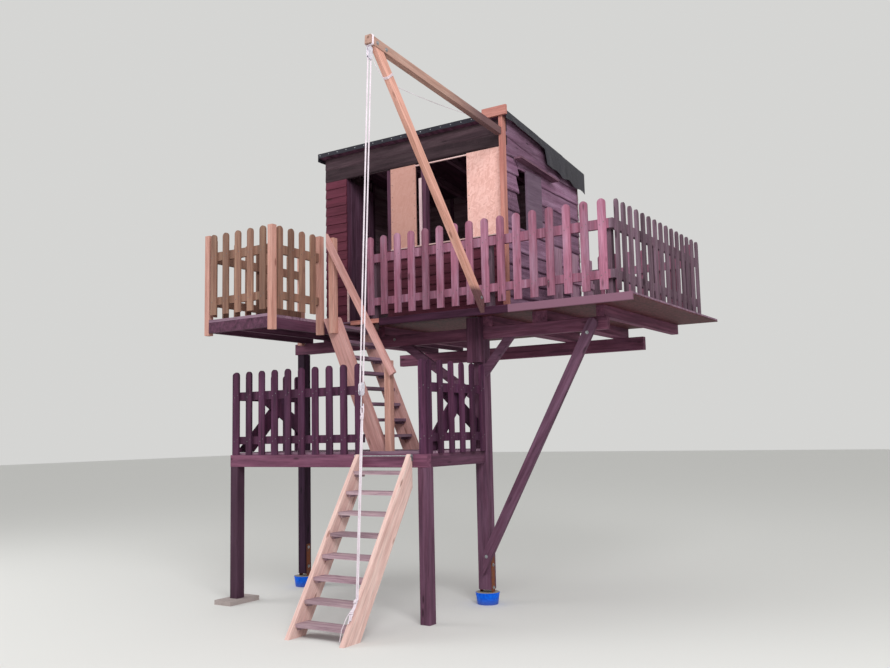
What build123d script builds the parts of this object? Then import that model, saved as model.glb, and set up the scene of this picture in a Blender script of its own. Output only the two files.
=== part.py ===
"""A timber tree house on posts: a low deck, a lift-up stair, a ladder stair, an upper deck with a hut.

Millimetres. The origin is the centre of the underside of the tall right post's footing.
+X runs to the right along the front, +Y runs to the back and +Z is up.
"""
import os
from math import atan2, cos, degrees, hypot, pi, radians, sin, tan

from build123d import *

os.makedirs("parts", exist_ok=True)

# Levels above the lowest ground that a foot stands on
lower_floor_top = 1543
upper_floor_top = 2915
bucket_height = 117
paver_height = 45
sill_top = 3740
front_wall_top = 4955
header_height = 290

# Plan of the lower deck
lower_left = -2440
lower_right = 65
lower_front = -1145
lower_rear = -5

# Plan of the upper deck
upper_front = -485
upper_left = -1510
upper_right = 1845
upper_rear = 2110

# Plan of the landing on the left
landing_left = -2335
landing_right = upper_left
landing_front = -1560

# Plan of the hut
hut_left = -2065
hut_right = 365
hut_front = -15
hut_rear = 1765

# Timber sections
arris = 4
short_post_width = 105
tall_post_width = 130
rear_left_post_width = 105
rear_left_post_x = -2422
lower_beam_depth = 124
lower_beam_width = 70
side_beam_width = 45
upper_beam_depth = 124
upper_beam_width = 80
rear_beam_depth = 152
rear_beam_left = -2485
rear_beam_right = 995
front_beam_left = -1267
front_beam_right = 1410
landing_beam_left = -2500
landing_beam_right = -1400
lower_board = 22
upper_board = 30
joist_depth = 107
joist_width = 80
joist_lines = ((-1227, 1), (90, 2), (711, 2), (1350, 1))
rim_width = 45
head_block_height = 460
head_block_thickness = 75
head_block_lap = 30
head_block_play = 10
edge_board_height = 45
rim_board_height = 75
edge_board_thickness = 25
edge_board_left = -1312
edge_board_right = -935

# Footings
bucket_top_radius = 122
bucket_base_radius = 106
bucket_wall = 4
anchor_thickness = 6
anchor_width = 60
anchor_standoff = 24
anchor_top = 475
paver_length = 420
paver_width = 230

# Pickets and rails
picket_width = 78
picket_thickness = 20
rail_thickness = 40
lower_picket_length = 872
lower_picket_pitch = 182
lower_picket_count = 10
first_lower_picket_x = -2362
side_picket_pitch = 194
side_picket_count = 6
first_side_picket_y = -1082
end_picket_x = 20
lower_rails = ((89, 169), (551, 637))
upper_picket_gap = 46
upper_picket_length = 841
upper_picket_pitch = 176
first_upper_picket_x = -1075
upper_rails = ((150, 230), (610, 700))
railing_setback = 40
right_railing_x = 1665
right_picket_pitch = 170
first_right_picket_y = -371
first_back_picket_x = 500
back_railing_y = 2050
railing_post_width = 70
landing_picket_pitch = 165
landing_front_count = 5
first_landing_picket_x = -2274
landing_front_pitch = 173
landing_side_count = 4
landing_left_count = 8
first_landing_picket_y = -1442
landing_end_post_y = -810
landing_post_width = 62
landing_rear_post_y = -110
post_drop = 131
cross_board_thickness = 20
rising_board_width = 165
rising_board_pitch = 43.3
rising_board_front = -1000
falling_board_width = 150
falling_board_pitch = 30.5
falling_board_front = -790
falling_board_rear = -80

# Lift-up stair
stair_pitch = 57
stair_left = -735
stair_right = -95
stringer_width = 185
stringer_thickness = 45
stringer_end_radius = 16
stair_running_gap = 5
stair_tread_rise = 178
stair_tread_first = 120
stair_tread_count = 8
tread_thickness = 30
tread_depth = 165
tread_setback = 12
cleat_size = 25
hinge_rod_radius = 6
hinge_play = 0.3
hinge_ear_thickness = 6
hinge_side_gap = 2
hinge_plate_height = 90

# Ladder stair to the upper deck
ladder_pitch = 66.5
ladder_near = -845
ladder_far = -245
ladder_foot_x = -607
ladder_tread_rise = 162
ladder_tread_count = 8
ladder_tread_depth = 150
newel_width = 70
newel_top = 2425
newel_x = -543
handrail_depth = 70
handrail_thickness = 35
handrail_pitch = 60.2
handrail_foot_x = -456
handrail_foot_z = 2286
handrail_post_x = -1240
handrail_post_bottom = 2749
handrail_post_rise = 25

# Braces
knee_thickness = 50
knee_depth = 85
knee_left_reach = 860
knee_left_foot_z = 2062
knee_right_reach = 280
knee_right_foot_z = 2333
long_brace_thickness = 50
long_brace_depth = 100
long_brace_top_x = 1278
long_brace_foot_x = 20
long_brace_foot_z = 400

# Hut
wall_thickness = 45
cladding = 25
sheet_thickness = 12
stud_depth = 65
door_left = -1755
door_post_left = -1800
door_right = -1181
door_post_right = -1125
middle_post_left = -721
middle_post_right = -656
window_right = -125
window_stud_width = 45
left_sheet_right = -785
right_sheet_right = 320
door_leaf_thickness = 30
door_leaf_gap = 8
door_leaf_angle = 100
roof_fall = 6.73
roof_thickness = 40
roof_front_overhang = 70
roof_rear_overhang = 85
roof_side_overhang = 45
rafter_depth = 80
rafter_width = 50
rafter_pitch = 480
rafter_count = 4
first_rafter_x = -1640
side_window_front = 250
side_window_rear = 725
side_window_height = 626
side_window_drop = 490
shutter_front = 385
shutter_thickness = 20
shutter_lap = 15
canopy_front = 150
canopy_rear = 1045
canopy_clearance = 95
canopy_pitch = 3.6
canopy_projection = 90
canopy_thickness = 20
corner_post_width = 45
corner_post_depth = 70
cap_board_left = 140
cap_board_right = 425
cap_board_height = 100
cap_board_thickness = 30

# Gallows and tackle
arm_x = 320
arm_width = 60
arm_depth = 75
arm_root_drop = 160
arm_tip_y = -2290
arm_tip_z = 4970
brace_width = 45
brace_depth = 85
brace_head_y = -2160
brace_foot_rise = 10
block_radius = 26
block_thickness = 6
sheave_thickness = 14
sheave_radius = 14
block_length = 110
block_y = -2262
rope_radius = 6
rope_play = 0.2
cord_radius = 3
tie_height = 335
lower_block_height = 2140
hook_height = 100
hook_radius = 16
hook_wire = 5
cord_lashing_y = -2048
cord_lashing_z = 4719
cord_end_x = 85
cord_end_z = 4990

# Low grey rail on the upper deck
grey_rail_x = 660
grey_board_spans = ((425, 610), (850, 1020), (1180, 1410))
grey_board_height = 700
grey_rail_level = 400
grey_rail_depth = 60

# Levels that follow from the sizes above
lower_beam_top = lower_floor_top - lower_board
lower_beam_bottom = lower_beam_top - lower_beam_depth
joist_top = upper_floor_top - upper_board
upper_beam_top = joist_top - joist_depth
upper_beam_bottom = upper_beam_top - upper_beam_depth
tall_post_front = -tall_post_width / 2
upper_beam_front = tall_post_front
upper_beam_back = upper_beam_front + upper_beam_width
post_bottom = bucket_height + anchor_standoff + anchor_thickness
upper_picket_bottom = upper_floor_top + upper_picket_gap
head_bottom = front_wall_top - header_height
side_window_top = front_wall_top - side_window_drop
side_window_bottom = side_window_top - side_window_height
arm_root_z = front_wall_top - arm_root_drop
brace_foot_z = upper_floor_top + brace_foot_rise
front_railing_y = upper_front + railing_setback
rim_board_front = upper_front - edge_board_thickness
back_wall_front = hut_rear - wall_thickness
cladding_back = hut_front + cladding


def keep(piece, node):
    """Label the finished piece and write it to its own file."""
    piece.part.label = node
    export_step(piece.part, f"parts/{node}.step")


def facing_front(y):
    """A plane across the front at y, seen as X to the right and Z up; it extrudes towards the front."""
    return Plane.XZ.offset(-y)


def timber(x, y, z, long_axis=None):
    """A squared timber between three pairs of limits, its long edges eased when their axis is given."""
    with BuildPart() as piece:
        with BuildSketch(Plane.XY.offset(z[0])):
            with Locations(((x[0] + x[1]) / 2, (y[0] + y[1]) / 2)):
                Rectangle(x[1] - x[0], y[1] - y[0])
        extrude(amount=z[1] - z[0])
        if long_axis is not None:
            chamfer(piece.edges().filter_by(long_axis), length=arris)
    return piece


def strip(start, end, width, start_cut="square", end_cut="square"):
    """Corners of a board of the given width along a centre line, each end cut square, plumb or level."""
    run = end[0] - start[0]
    rise = end[1] - start[1]
    length = hypot(run, rise)
    corners = []
    for side in (1, -1):
        shift_across = (-rise / length * side * width / 2, run / length * side * width / 2)
        edge = []
        for point, cut in ((start, start_cut), (end, end_cut)):
            corner = (point[0] + shift_across[0], point[1] + shift_across[1])
            slide = 0
            if cut == "plumb":
                slide = (point[0] - corner[0]) / run
            if cut == "level":
                slide = (point[1] - corner[1]) / rise
            edge.append((corner[0] + run * slide, corner[1] + rise * slide))
        corners += edge if side == 1 else edge[::-1]
    return corners


def board(plane, corners, thickness):
    """A flat board with the given outline on a plane."""
    with BuildPart() as piece:
        with BuildSketch(plane):
            with BuildLine():
                Polyline(*corners, close=True)
            make_face()
        extrude(amount=thickness)
    return piece


def railing(plane, outward, centres, bottom, top, span, rail_levels):
    """Round-topped pickets on the outer side of a plane and two rails on its inner side."""
    shoulder = top - picket_width / 2
    with BuildPart() as panel:
        with BuildSketch(plane):
            with Locations([(centre, (bottom + shoulder) / 2) for centre in centres]):
                Rectangle(picket_width, shoulder - bottom)
            with Locations([(centre, shoulder) for centre in centres]):
                Circle(picket_width / 2)
        extrude(amount=outward * picket_thickness)
        with BuildSketch(plane):
            for low, high in rail_levels:
                with Locations(((span[0] + span[1]) / 2, (low + high) / 2)):
                    Rectangle(span[1] - span[0], high - low)
        extrude(amount=-outward * rail_thickness)
    return panel


def together(*pieces):
    """Like pieces gathered under one name."""
    with BuildPart() as group:
        for piece in pieces:
            add(piece.part)
    return group


def row(first, pitch, count):
    """Evenly spaced centres."""
    return [first + pitch * step for step in range(count)]


def pickets_up_to(first, pitch, end):
    """Picket centres from the first one, as many as stand whole before the end of their rails."""
    count = int((end - picket_width / 2 - first) // pitch) + 1
    return row(first, pitch, count)


# Footings of the two tall rear posts
footing_centres = ((0, 0), (rear_left_post_x, 0))
footing_posts = (tall_post_width, rear_left_post_width)

with BuildPart() as footing_buckets:
    for footing_x, footing_y in footing_centres:
        with BuildSketch(Plane.XY):
            with Locations((footing_x, footing_y)):
                Circle(bucket_base_radius)
        with BuildSketch(Plane.XY.offset(bucket_height)):
            with Locations((footing_x, footing_y)):
                Circle(bucket_top_radius)
        loft()
        with BuildSketch(Plane.XY.offset(bucket_wall)):
            with Locations((footing_x, footing_y)):
                Circle(bucket_base_radius - bucket_wall)
        with BuildSketch(Plane.XY.offset(bucket_height)):
            with Locations((footing_x, footing_y)):
                Circle(bucket_top_radius - bucket_wall)
        loft(mode=Mode.SUBTRACT)
keep(footing_buckets, "footing_buckets")

with BuildPart() as footing_concrete:
    for footing_x, footing_y in footing_centres:
        with BuildSketch(Plane.XY.offset(bucket_wall)):
            with Locations((footing_x, footing_y)):
                Circle(bucket_base_radius - bucket_wall)
        with BuildSketch(Plane.XY.offset(bucket_height)):
            with Locations((footing_x, footing_y)):
                Circle(bucket_top_radius - bucket_wall)
        loft()
keep(footing_concrete, "footing_concrete")

# Steel H anchors: two flats beside the post and a cross plate under it
with BuildPart() as post_anchors:
    for (footing_x, footing_y), post_width in zip(footing_centres, footing_posts):
        with BuildSketch(facing_front(footing_y + anchor_width / 2)):
            for side in (-1, 1):
                flat_x = footing_x + side * (post_width + anchor_thickness) / 2
                with Locations((flat_x, (bucket_height + anchor_top) / 2)):
                    Rectangle(anchor_thickness, anchor_top - bucket_height)
            with Locations((footing_x, post_bottom - anchor_thickness / 2)):
                Rectangle(post_width, anchor_thickness)
        extrude(amount=anchor_width)
keep(post_anchors, "post_anchors")

# Posts
half_tall = tall_post_width / 2
tall_post_right = timber(
    (-half_tall, half_tall), (-half_tall, half_tall), (post_bottom, upper_beam_bottom), Axis.Z
)
keep(tall_post_right, "tall_post_right")

half_left = rear_left_post_width / 2
tall_post_left = timber(
    (rear_left_post_x - half_left, rear_left_post_x + half_left),
    (-half_left, half_left),
    (post_bottom, upper_beam_bottom),
    Axis.Z,
)
keep(tall_post_left, "tall_post_left")

short_post_back = lower_front + short_post_width
post_front_left = timber(
    (lower_left, lower_left + short_post_width),
    (lower_front, short_post_back),
    (paver_height, lower_beam_bottom),
    Axis.Z,
)
post_front_right = timber(
    (lower_right - short_post_width, lower_right),
    (lower_front, short_post_back),
    (0, lower_beam_bottom),
    Axis.Z,
)
lower_front_posts = together(post_front_left, post_front_right)
keep(lower_front_posts, "lower_front_posts")

paver_x = lower_left + short_post_width / 2
paver_y = lower_front + short_post_width / 2
front_left_paver = timber(
    (paver_x - paver_width / 2, paver_x + paver_width / 2),
    (paver_y - paver_length / 2, paver_y + paver_length / 2),
    (0, paver_height),
    Axis.Z,
)
keep(front_left_paver, "front_left_paver")

# Lower deck
beam_back = lower_front + lower_beam_width
lower_front_beam = timber(
    (lower_left, lower_right), (lower_front, beam_back), (lower_beam_bottom, lower_beam_top), Axis.X
)
keep(lower_front_beam, "lower_front_beam")

left_beam_x = rear_left_post_x
right_beam_x = lower_right - side_beam_width
side_beam_length = tall_post_front - beam_back
left_post_right_face = rear_left_post_x + half_left
back_beam_front = -half_left
back_beam_back = back_beam_front + side_beam_width
with BuildPart() as lower_rim_beams:
    with BuildSketch(Plane.XY.offset(lower_beam_bottom)):
        with Locations(((left_post_right_face - half_tall) / 2, (back_beam_front + back_beam_back) / 2)):
            Rectangle(-half_tall - left_post_right_face, side_beam_width)
        with Locations((right_beam_x, (beam_back + tall_post_front) / 2)):
            Rectangle(side_beam_width, side_beam_length)
        with Locations((left_beam_x, (beam_back - half_left) / 2)):
            Rectangle(side_beam_width, -half_left - beam_back)
    extrude(amount=lower_beam_depth)
keep(lower_rim_beams, "lower_rim_beams")

# Three joists run from the front beam to the beam between the tall posts
lower_joist_count = 3
lower_joist_pitch = (tall_post_front - left_post_right_face) / (lower_joist_count + 1)
with BuildPart() as lower_joists:
    with BuildSketch(Plane.XY.offset(lower_beam_bottom)):
        joist_centre_y = (beam_back + back_beam_front) / 2
        for step in range(lower_joist_count):
            with Locations((left_post_right_face + lower_joist_pitch * (step + 1), joist_centre_y)):
                Rectangle(side_beam_width, back_beam_front - beam_back)
    extrude(amount=lower_beam_depth)
keep(lower_joists, "lower_joists")

floor_front = lower_front + picket_thickness
side_railing_x = lower_right - picket_thickness
left_railing_x = lower_left + picket_thickness
with BuildPart() as lower_floor:
    with BuildSketch(Plane.XY.offset(lower_beam_top)):
        with BuildLine():
            Polyline(
                (left_railing_x, floor_front),
                (side_railing_x, floor_front),
                (side_railing_x, tall_post_front),
                (-half_tall, tall_post_front),
                (-half_tall, lower_rear),
                (left_post_right_face, lower_rear),
                (left_post_right_face, -half_left),
                (left_railing_x, -half_left),
                close=True,
            )
        make_face()
    extrude(amount=lower_board)
keep(lower_floor, "lower_floor")

# Railings of the lower deck
lower_picket_top = lower_beam_top + lower_picket_length
lower_rail_levels = [(lower_floor_top + low, lower_floor_top + high) for low, high in lower_rails]
lower_centres = row(first_lower_picket_x, lower_picket_pitch, lower_picket_count)
lower_front_panel = railing(
    facing_front(floor_front),
    1,
    lower_centres,
    lower_beam_top,
    lower_picket_top,
    (left_railing_x + rail_thickness, lower_centres[-1] + picket_width / 2),
    lower_rail_levels,
)
with BuildPart() as lower_end_picket:
    with BuildSketch(facing_front(floor_front)):
        with Locations((end_picket_x, (lower_beam_top + lower_picket_top - picket_width / 2) / 2)):
            Rectangle(picket_width, lower_picket_length - picket_width / 2)
        with Locations((end_picket_x, lower_picket_top - picket_width / 2)):
            Circle(picket_width / 2)
    extrude(amount=picket_thickness)
lower_front_railing = together(lower_front_panel, lower_end_picket)
keep(lower_front_railing, "lower_front_railing")

side_centres = row(first_side_picket_y, side_picket_pitch, side_picket_count)
side_span = (floor_front, tall_post_front)


def cross_boards(outward, rail_face):
    """Two crossed boards on the inner side of a side railing, one on top of the other."""
    low = lower_floor_top + arris
    high = lower_rail_levels[1][1]
    rising_run = (high - low) / tan(radians(rising_board_pitch))
    falling_drop = (falling_board_rear - falling_board_front) * tan(radians(falling_board_pitch))
    outlines = (
        strip((rising_board_front, low), (rising_board_front + rising_run, high), rising_board_width,
              "level", "level"),
        strip((falling_board_front, high), (falling_board_rear, high - falling_drop), falling_board_width,
              "level", "plumb"),
    )
    with BuildPart() as crossed:
        for layer, outline in enumerate(outlines):
            with BuildSketch(Plane.YZ.offset(rail_face - outward * layer * cross_board_thickness)):
                with BuildLine():
                    Polyline(*outline, close=True)
                make_face()
            extrude(amount=-outward * cross_board_thickness)
    return crossed


right_panel = railing(Plane.YZ.offset(side_railing_x), 1, side_centres, lower_beam_top, lower_picket_top,
                      side_span, lower_rail_levels)
left_panel = railing(Plane.YZ.offset(left_railing_x), -1, side_centres, lower_beam_top, lower_picket_top,
                     side_span, lower_rail_levels)
lower_right_railing = together(right_panel, cross_boards(1, side_railing_x - rail_thickness))
keep(lower_right_railing, "lower_right_railing")
lower_left_railing = together(left_panel, cross_boards(-1, left_railing_x + rail_thickness))
keep(lower_left_railing, "lower_left_railing")

# Lift-up stair, hung on a rod along the front beam
slope = radians(stair_pitch)
hinge_y = lower_front - stair_running_gap - stringer_end_radius
hinge_z = lower_beam_top - stringer_end_radius
rear_face_y = hinge_y + stringer_end_radius
shoulder_y = hinge_y - stringer_end_radius * sin(slope)
shoulder_z = hinge_z + stringer_end_radius * cos(slope)
toe_y = shoulder_y - shoulder_z / tan(slope)
heel_y = toe_y + stringer_width / sin(slope)
rear_corner_z = (rear_face_y - heel_y) * tan(slope)


def stair_stringer(left_face):
    """A raw plank on edge: level at the ground, plumb behind and round about the hinge rod."""
    half_turn = (pi / 2 + slope) / 2
    with BuildPart() as plank:
        with BuildSketch(Plane.YZ.offset(left_face)):
            with BuildLine():
                Polyline(
                    (shoulder_y, shoulder_z),
                    (toe_y, 0),
                    (heel_y, 0),
                    (rear_face_y, rear_corner_z),
                    (rear_face_y, hinge_z),
                )
                ThreePointArc(
                    (rear_face_y, hinge_z),
                    (hinge_y + stringer_end_radius * cos(half_turn),
                     hinge_z + stringer_end_radius * sin(half_turn)),
                    (shoulder_y, shoulder_z),
                )
            make_face()
            with Locations((hinge_y, hinge_z)):
                Circle(hinge_rod_radius + hinge_play, mode=Mode.SUBTRACT)
        extrude(amount=stringer_thickness)
    return plank


stair_stringers = together(stair_stringer(stair_left), stair_stringer(stair_right - stringer_thickness))
keep(stair_stringers, "stair_stringers")

stair_inner_left = stair_left + stringer_thickness
stair_inner_right = stair_right - stringer_thickness
with BuildPart() as stair_treads:
    for tread_top in row(stair_tread_first, stair_tread_rise, stair_tread_count):
        tread_front = toe_y + tread_top / tan(slope) + tread_setback
        with BuildSketch(Plane.XY.offset(tread_top)):
            with Locations(((stair_inner_left + stair_inner_right) / 2, tread_front + tread_depth / 2)):
                Rectangle(stair_inner_right - stair_inner_left, tread_depth)
        extrude(amount=-tread_thickness)
        with BuildSketch(Plane.XY.offset(tread_top - tread_thickness)):
            for cleat_x in (stair_inner_left + cleat_size / 2, stair_inner_right - cleat_size / 2):
                with Locations((cleat_x, tread_front + tread_depth / 2)):
                    Rectangle(cleat_size, tread_depth - 2 * cleat_size)
        extrude(amount=-cleat_size)
keep(stair_treads, "stair_treads")

# Hinge: a rod through both stringers, carried by an ear beside each one on a plate on the beam
ear_faces = (
    (stair_left - hinge_side_gap - hinge_ear_thickness, stair_left - hinge_side_gap),
    (stair_right + hinge_side_gap, stair_right + hinge_side_gap + hinge_ear_thickness),
)
with BuildPart() as stair_hinge:
    with BuildSketch(Plane.YZ.offset(ear_faces[0][0])):
        with Locations((hinge_y, hinge_z)):
            Circle(hinge_rod_radius)
    extrude(amount=ear_faces[1][1] - ear_faces[0][0])
    for ear_left, ear_right in ear_faces:
        with BuildSketch(Plane.YZ.offset(ear_left)):
            with Locations((hinge_y, hinge_z)):
                Circle(stringer_end_radius)
            with Locations(((hinge_y + lower_front) / 2, hinge_z - hinge_plate_height / 4)):
                Rectangle(lower_front - hinge_y, hinge_plate_height / 2)
        extrude(amount=ear_right - ear_left)
keep(stair_hinge, "stair_hinge")

# Ladder stair to the landing
ladder_slope = radians(ladder_pitch)
ladder_across = stringer_width / sin(ladder_slope)


def ladder_right_edge(z):
    """X of the ladder's upper edge at a height."""
    return ladder_foot_x - (z - lower_floor_top) / tan(ladder_slope)


def ladder_stringer(front_face, top):
    """A raw plank from the low deck, cut level at both ends."""
    corners = (
        (ladder_right_edge(lower_floor_top), lower_floor_top),
        (ladder_right_edge(top), top),
        (ladder_right_edge(top) - ladder_across, top),
        (ladder_right_edge(lower_floor_top) - ladder_across, lower_floor_top),
    )
    return board(facing_front(front_face + stringer_thickness), corners, stringer_thickness)


near_stringer = ladder_stringer(ladder_near, upper_floor_top)
far_stringer = ladder_stringer(ladder_far - stringer_thickness, joist_top)
upper_stair_stringers = together(near_stringer, far_stringer)
keep(upper_stair_stringers, "upper_stair_stringers")

ladder_inner_near = ladder_near + stringer_thickness
ladder_inner_far = ladder_far - stringer_thickness
with BuildPart() as upper_stair_treads:
    for step in range(ladder_tread_count):
        tread_top = lower_floor_top + ladder_tread_rise * (step + 1)
        tread_right = ladder_right_edge(tread_top) - tread_setback
        tread_middle = tread_right - ladder_tread_depth / 2
        with BuildSketch(Plane.XY.offset(tread_top)):
            with Locations((tread_middle, (ladder_inner_near + ladder_inner_far) / 2)):
                Rectangle(ladder_tread_depth, ladder_inner_far - ladder_inner_near)
        extrude(amount=-tread_thickness)
        with BuildSketch(Plane.XY.offset(tread_top - tread_thickness)):
            for cleat_y in (ladder_inner_near + cleat_size / 2, ladder_inner_far - cleat_size / 2):
                with Locations((tread_middle, cleat_y)):
                    Rectangle(ladder_tread_depth - 2 * cleat_size, cleat_size)
        extrude(amount=-cleat_size)
keep(upper_stair_treads, "upper_stair_treads")

newel_front = ladder_near - newel_width
newel = timber(
    (newel_x - newel_width / 2, newel_x + newel_width / 2),
    (newel_front, ladder_near),
    (lower_floor_top, newel_top),
    Axis.Z,
)
handrail_slope = tan(radians(handrail_pitch))
handrail_head_x = handrail_post_x - newel_width / 2
handrail_head_z = handrail_foot_z + (handrail_foot_x - handrail_head_x) * handrail_slope
head_post = timber(
    (handrail_post_x - newel_width / 2, handrail_post_x + newel_width / 2),
    (newel_front, ladder_near),
    (handrail_post_bottom, handrail_head_z + handrail_post_rise),
    Axis.Z,
)
upper_stair_posts = together(newel, head_post)
keep(upper_stair_posts, "upper_stair_posts")

upper_stair_handrail = board(
    facing_front(newel_front),
    strip((handrail_foot_x, handrail_foot_z), (handrail_head_x, handrail_head_z), handrail_depth,
          "square", "plumb"),
    handrail_thickness,
)
keep(upper_stair_handrail, "upper_stair_handrail")

# Beams and joists of the upper level
beam_levels = (upper_beam_bottom, upper_beam_top)
beam_faces = (upper_beam_front, upper_beam_back)
main_beam = timber((front_beam_left, front_beam_right), beam_faces, beam_levels, Axis.X)
landing_beam = timber((landing_beam_left, landing_beam_right), beam_faces, beam_levels, Axis.X)
upper_front_beams = together(main_beam, landing_beam)
keep(upper_front_beams, "upper_front_beams")
upper_rear_beam = timber(
    (rear_beam_left, rear_beam_right),
    (upper_rear - upper_beam_width, upper_rear),
    (upper_beam_top - rear_beam_depth, upper_beam_top),
    Axis.X,
)
keep(upper_rear_beam, "upper_rear_beam")

# The two middle joists are doubled, and one more lies under the hut's left wall
all_joist_lines = joist_lines + ((hut_left + joist_width / 2, 1),)
with BuildPart() as upper_joists:
    with BuildSketch(Plane.XY.offset(upper_beam_top)):
        for joist_x, planks in all_joist_lines:
            with Locations((joist_x, (upper_beam_front + upper_rear) / 2)):
                Rectangle(joist_width * planks, upper_rear - upper_beam_front)
    extrude(amount=joist_depth)
keep(upper_joists, "upper_joists")

# The landing's right and middle joists run back to the rear beam and hold it up, and the left one ends on its beam
rim_back = landing_front + rim_width
landing_joist_spans = (
    (landing_left + rim_width / 2, upper_beam_back),
    ((landing_left + landing_right) / 2, upper_rear),
    (landing_right - rim_width / 2, upper_rear),
)
with BuildPart() as landing_frame:
    with BuildSketch(Plane.XY.offset(upper_beam_top)):
        with Locations(((landing_left + landing_right) / 2, landing_front + rim_width / 2)):
            Rectangle(landing_right - landing_left, rim_width)
        for joist_x, joist_end in landing_joist_spans:
            with Locations((joist_x, (rim_back + joist_end) / 2)):
                Rectangle(rim_width, joist_end - rim_back)
    extrude(amount=joist_depth)
keep(landing_frame, "landing_frame")

# Floors
with BuildPart() as upper_floor:
    with BuildSketch(Plane.XY.offset(joist_top)):
        with BuildLine():
            Polyline(
                (upper_left, upper_front),
                (upper_right, upper_front),
                (upper_right, upper_rear),
                (hut_left, upper_rear),
                (hut_left, hut_front),
                (upper_left, hut_front),
                close=True,
            )
        make_face()
    extrude(amount=upper_board)
keep(upper_floor, "upper_floor")

with BuildPart() as landing_floor:
    with BuildSketch(Plane.XY.offset(joist_top)):
        with Locations(((landing_left + landing_right) / 2, (landing_front + hut_front) / 2)):
            Rectangle(landing_right - landing_left, hut_front - landing_front)
    extrude(amount=upper_board)
keep(landing_floor, "landing_floor")

deck_edge_board = timber(
    (edge_board_left, edge_board_right),
    (rim_board_front, upper_front),
    (upper_floor_top - edge_board_height, upper_floor_top),
)
keep(deck_edge_board, "deck_edge_board")

deck_rim_board = timber(
    (edge_board_right, upper_right),
    (rim_board_front, upper_front),
    (upper_floor_top - rim_board_height, upper_floor_top),
    Axis.X,
)
keep(deck_rim_board, "deck_rim_board")

# Head block and braces
head_block_top = joist_top - head_block_play
post_head_block = timber(
    (-half_tall - head_block_lap, half_tall),
    (tall_post_front - head_block_thickness, tall_post_front),
    (head_block_top - head_block_height, head_block_top),
    Axis.Z,
)
keep(post_head_block, "post_head_block")

knee_back = upper_beam_back - (upper_beam_width - knee_thickness) / 2
with BuildPart() as knee_braces:
    for side, reach, foot_z in ((-1, knee_left_reach, knee_left_foot_z), (1, knee_right_reach, knee_right_foot_z)):
        with BuildSketch(facing_front(knee_back)):
            with BuildLine():
                Polyline(
                    *strip((side * half_tall, foot_z), (side * (half_tall + reach), upper_beam_bottom),
                           knee_depth, "plumb", "level"),
                    close=True,
                )
            make_face()
        extrude(amount=knee_thickness)
keep(knee_braces, "knee_braces")

# The long brace laps the fronts of the beam and the post, and its head is round
long_brace_head_z = (upper_beam_bottom + upper_beam_top) / 2
with BuildPart() as long_brace:
    with BuildSketch(facing_front(upper_beam_front)):
        with BuildLine():
            Polyline(
                *strip((long_brace_foot_x, long_brace_foot_z), (long_brace_top_x, long_brace_head_z),
                       long_brace_depth, "plumb", "square"),
                close=True,
            )
        make_face()
        with Locations((long_brace_top_x, long_brace_head_z)):
            Circle(long_brace_depth / 2)
    extrude(amount=long_brace_thickness)
keep(long_brace, "long_brace")

# Railings of the upper deck
upper_picket_top = upper_picket_bottom + upper_picket_length
upper_rail_levels = [(upper_floor_top + low, upper_floor_top + high) for low, high in upper_rails]
right_rail_face = right_railing_x - rail_thickness
upper_centres = pickets_up_to(first_upper_picket_x, upper_picket_pitch, right_rail_face)
back_rail_face = back_railing_y - rail_thickness
upper_front_railing = railing(
    facing_front(front_railing_y),
    1,
    upper_centres,
    upper_picket_bottom,
    upper_picket_top,
    (upper_centres[0] - picket_width / 2, right_rail_face),
    upper_rail_levels,
)
keep(upper_front_railing, "upper_front_railing")

upper_right_railing = railing(
    Plane.YZ.offset(right_railing_x),
    1,
    pickets_up_to(first_right_picket_y, right_picket_pitch, back_railing_y),
    upper_picket_bottom,
    upper_picket_top,
    (front_railing_y, back_railing_y),
    upper_rail_levels,
)
keep(upper_right_railing, "upper_right_railing")

upper_back_railing = railing(
    facing_front(back_railing_y),
    -1,
    pickets_up_to(first_back_picket_x, upper_picket_pitch, right_rail_face),
    upper_picket_bottom,
    upper_picket_top,
    (hut_right + railing_post_width, right_rail_face),
    upper_rail_levels,
)
keep(upper_back_railing, "upper_back_railing")

front_post_y = front_railing_y + rail_thickness + railing_post_width / 2
back_post_y = back_rail_face - railing_post_width / 2
right_post_x = right_rail_face - railing_post_width / 2
railing_post_centres = (
    (upper_centres[0], front_post_y),
    (upper_centres[len(upper_centres) // 2], front_post_y),
    (right_post_x, front_post_y),
    (right_post_x, (front_post_y + back_post_y) / 2),
    (right_post_x, back_post_y),
    (hut_right + railing_post_width * 3 / 2, back_post_y),
)
with BuildPart() as railing_posts:
    with BuildSketch(Plane.XY.offset(upper_floor_top)):
        with Locations(*railing_post_centres):
            Rectangle(railing_post_width, railing_post_width)
    extrude(amount=upper_rail_levels[1][1] - upper_floor_top)
keep(railing_posts, "railing_posts")

# Railing of the landing, on posts that hang below the rim
landing_right_post_x = landing_right + landing_post_width / 2
landing_left_post_x = landing_left - landing_post_width / 2
landing_front_post_y = landing_front + landing_post_width / 2
landing_post_centres = (
    (landing_left_post_x, landing_rear_post_y),
    (landing_left_post_x, landing_front_post_y),
    (landing_right_post_x, landing_front_post_y),
    (landing_right_post_x, landing_end_post_y),
)
with BuildPart() as landing_posts:
    with BuildSketch(Plane.XY.offset(upper_floor_top - upper_board - post_drop)):
        with Locations(*landing_post_centres):
            Rectangle(landing_post_width, landing_post_width)
    extrude(amount=upper_picket_top - upper_floor_top + upper_board + post_drop)
keep(landing_posts, "landing_posts")

landing_front_railing = railing(
    facing_front(landing_front + picket_thickness),
    1,
    row(first_landing_picket_x, landing_front_pitch, landing_front_count),
    upper_picket_bottom,
    upper_picket_top,
    (landing_left, landing_right),
    upper_rail_levels,
)
keep(landing_front_railing, "landing_front_railing")

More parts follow.
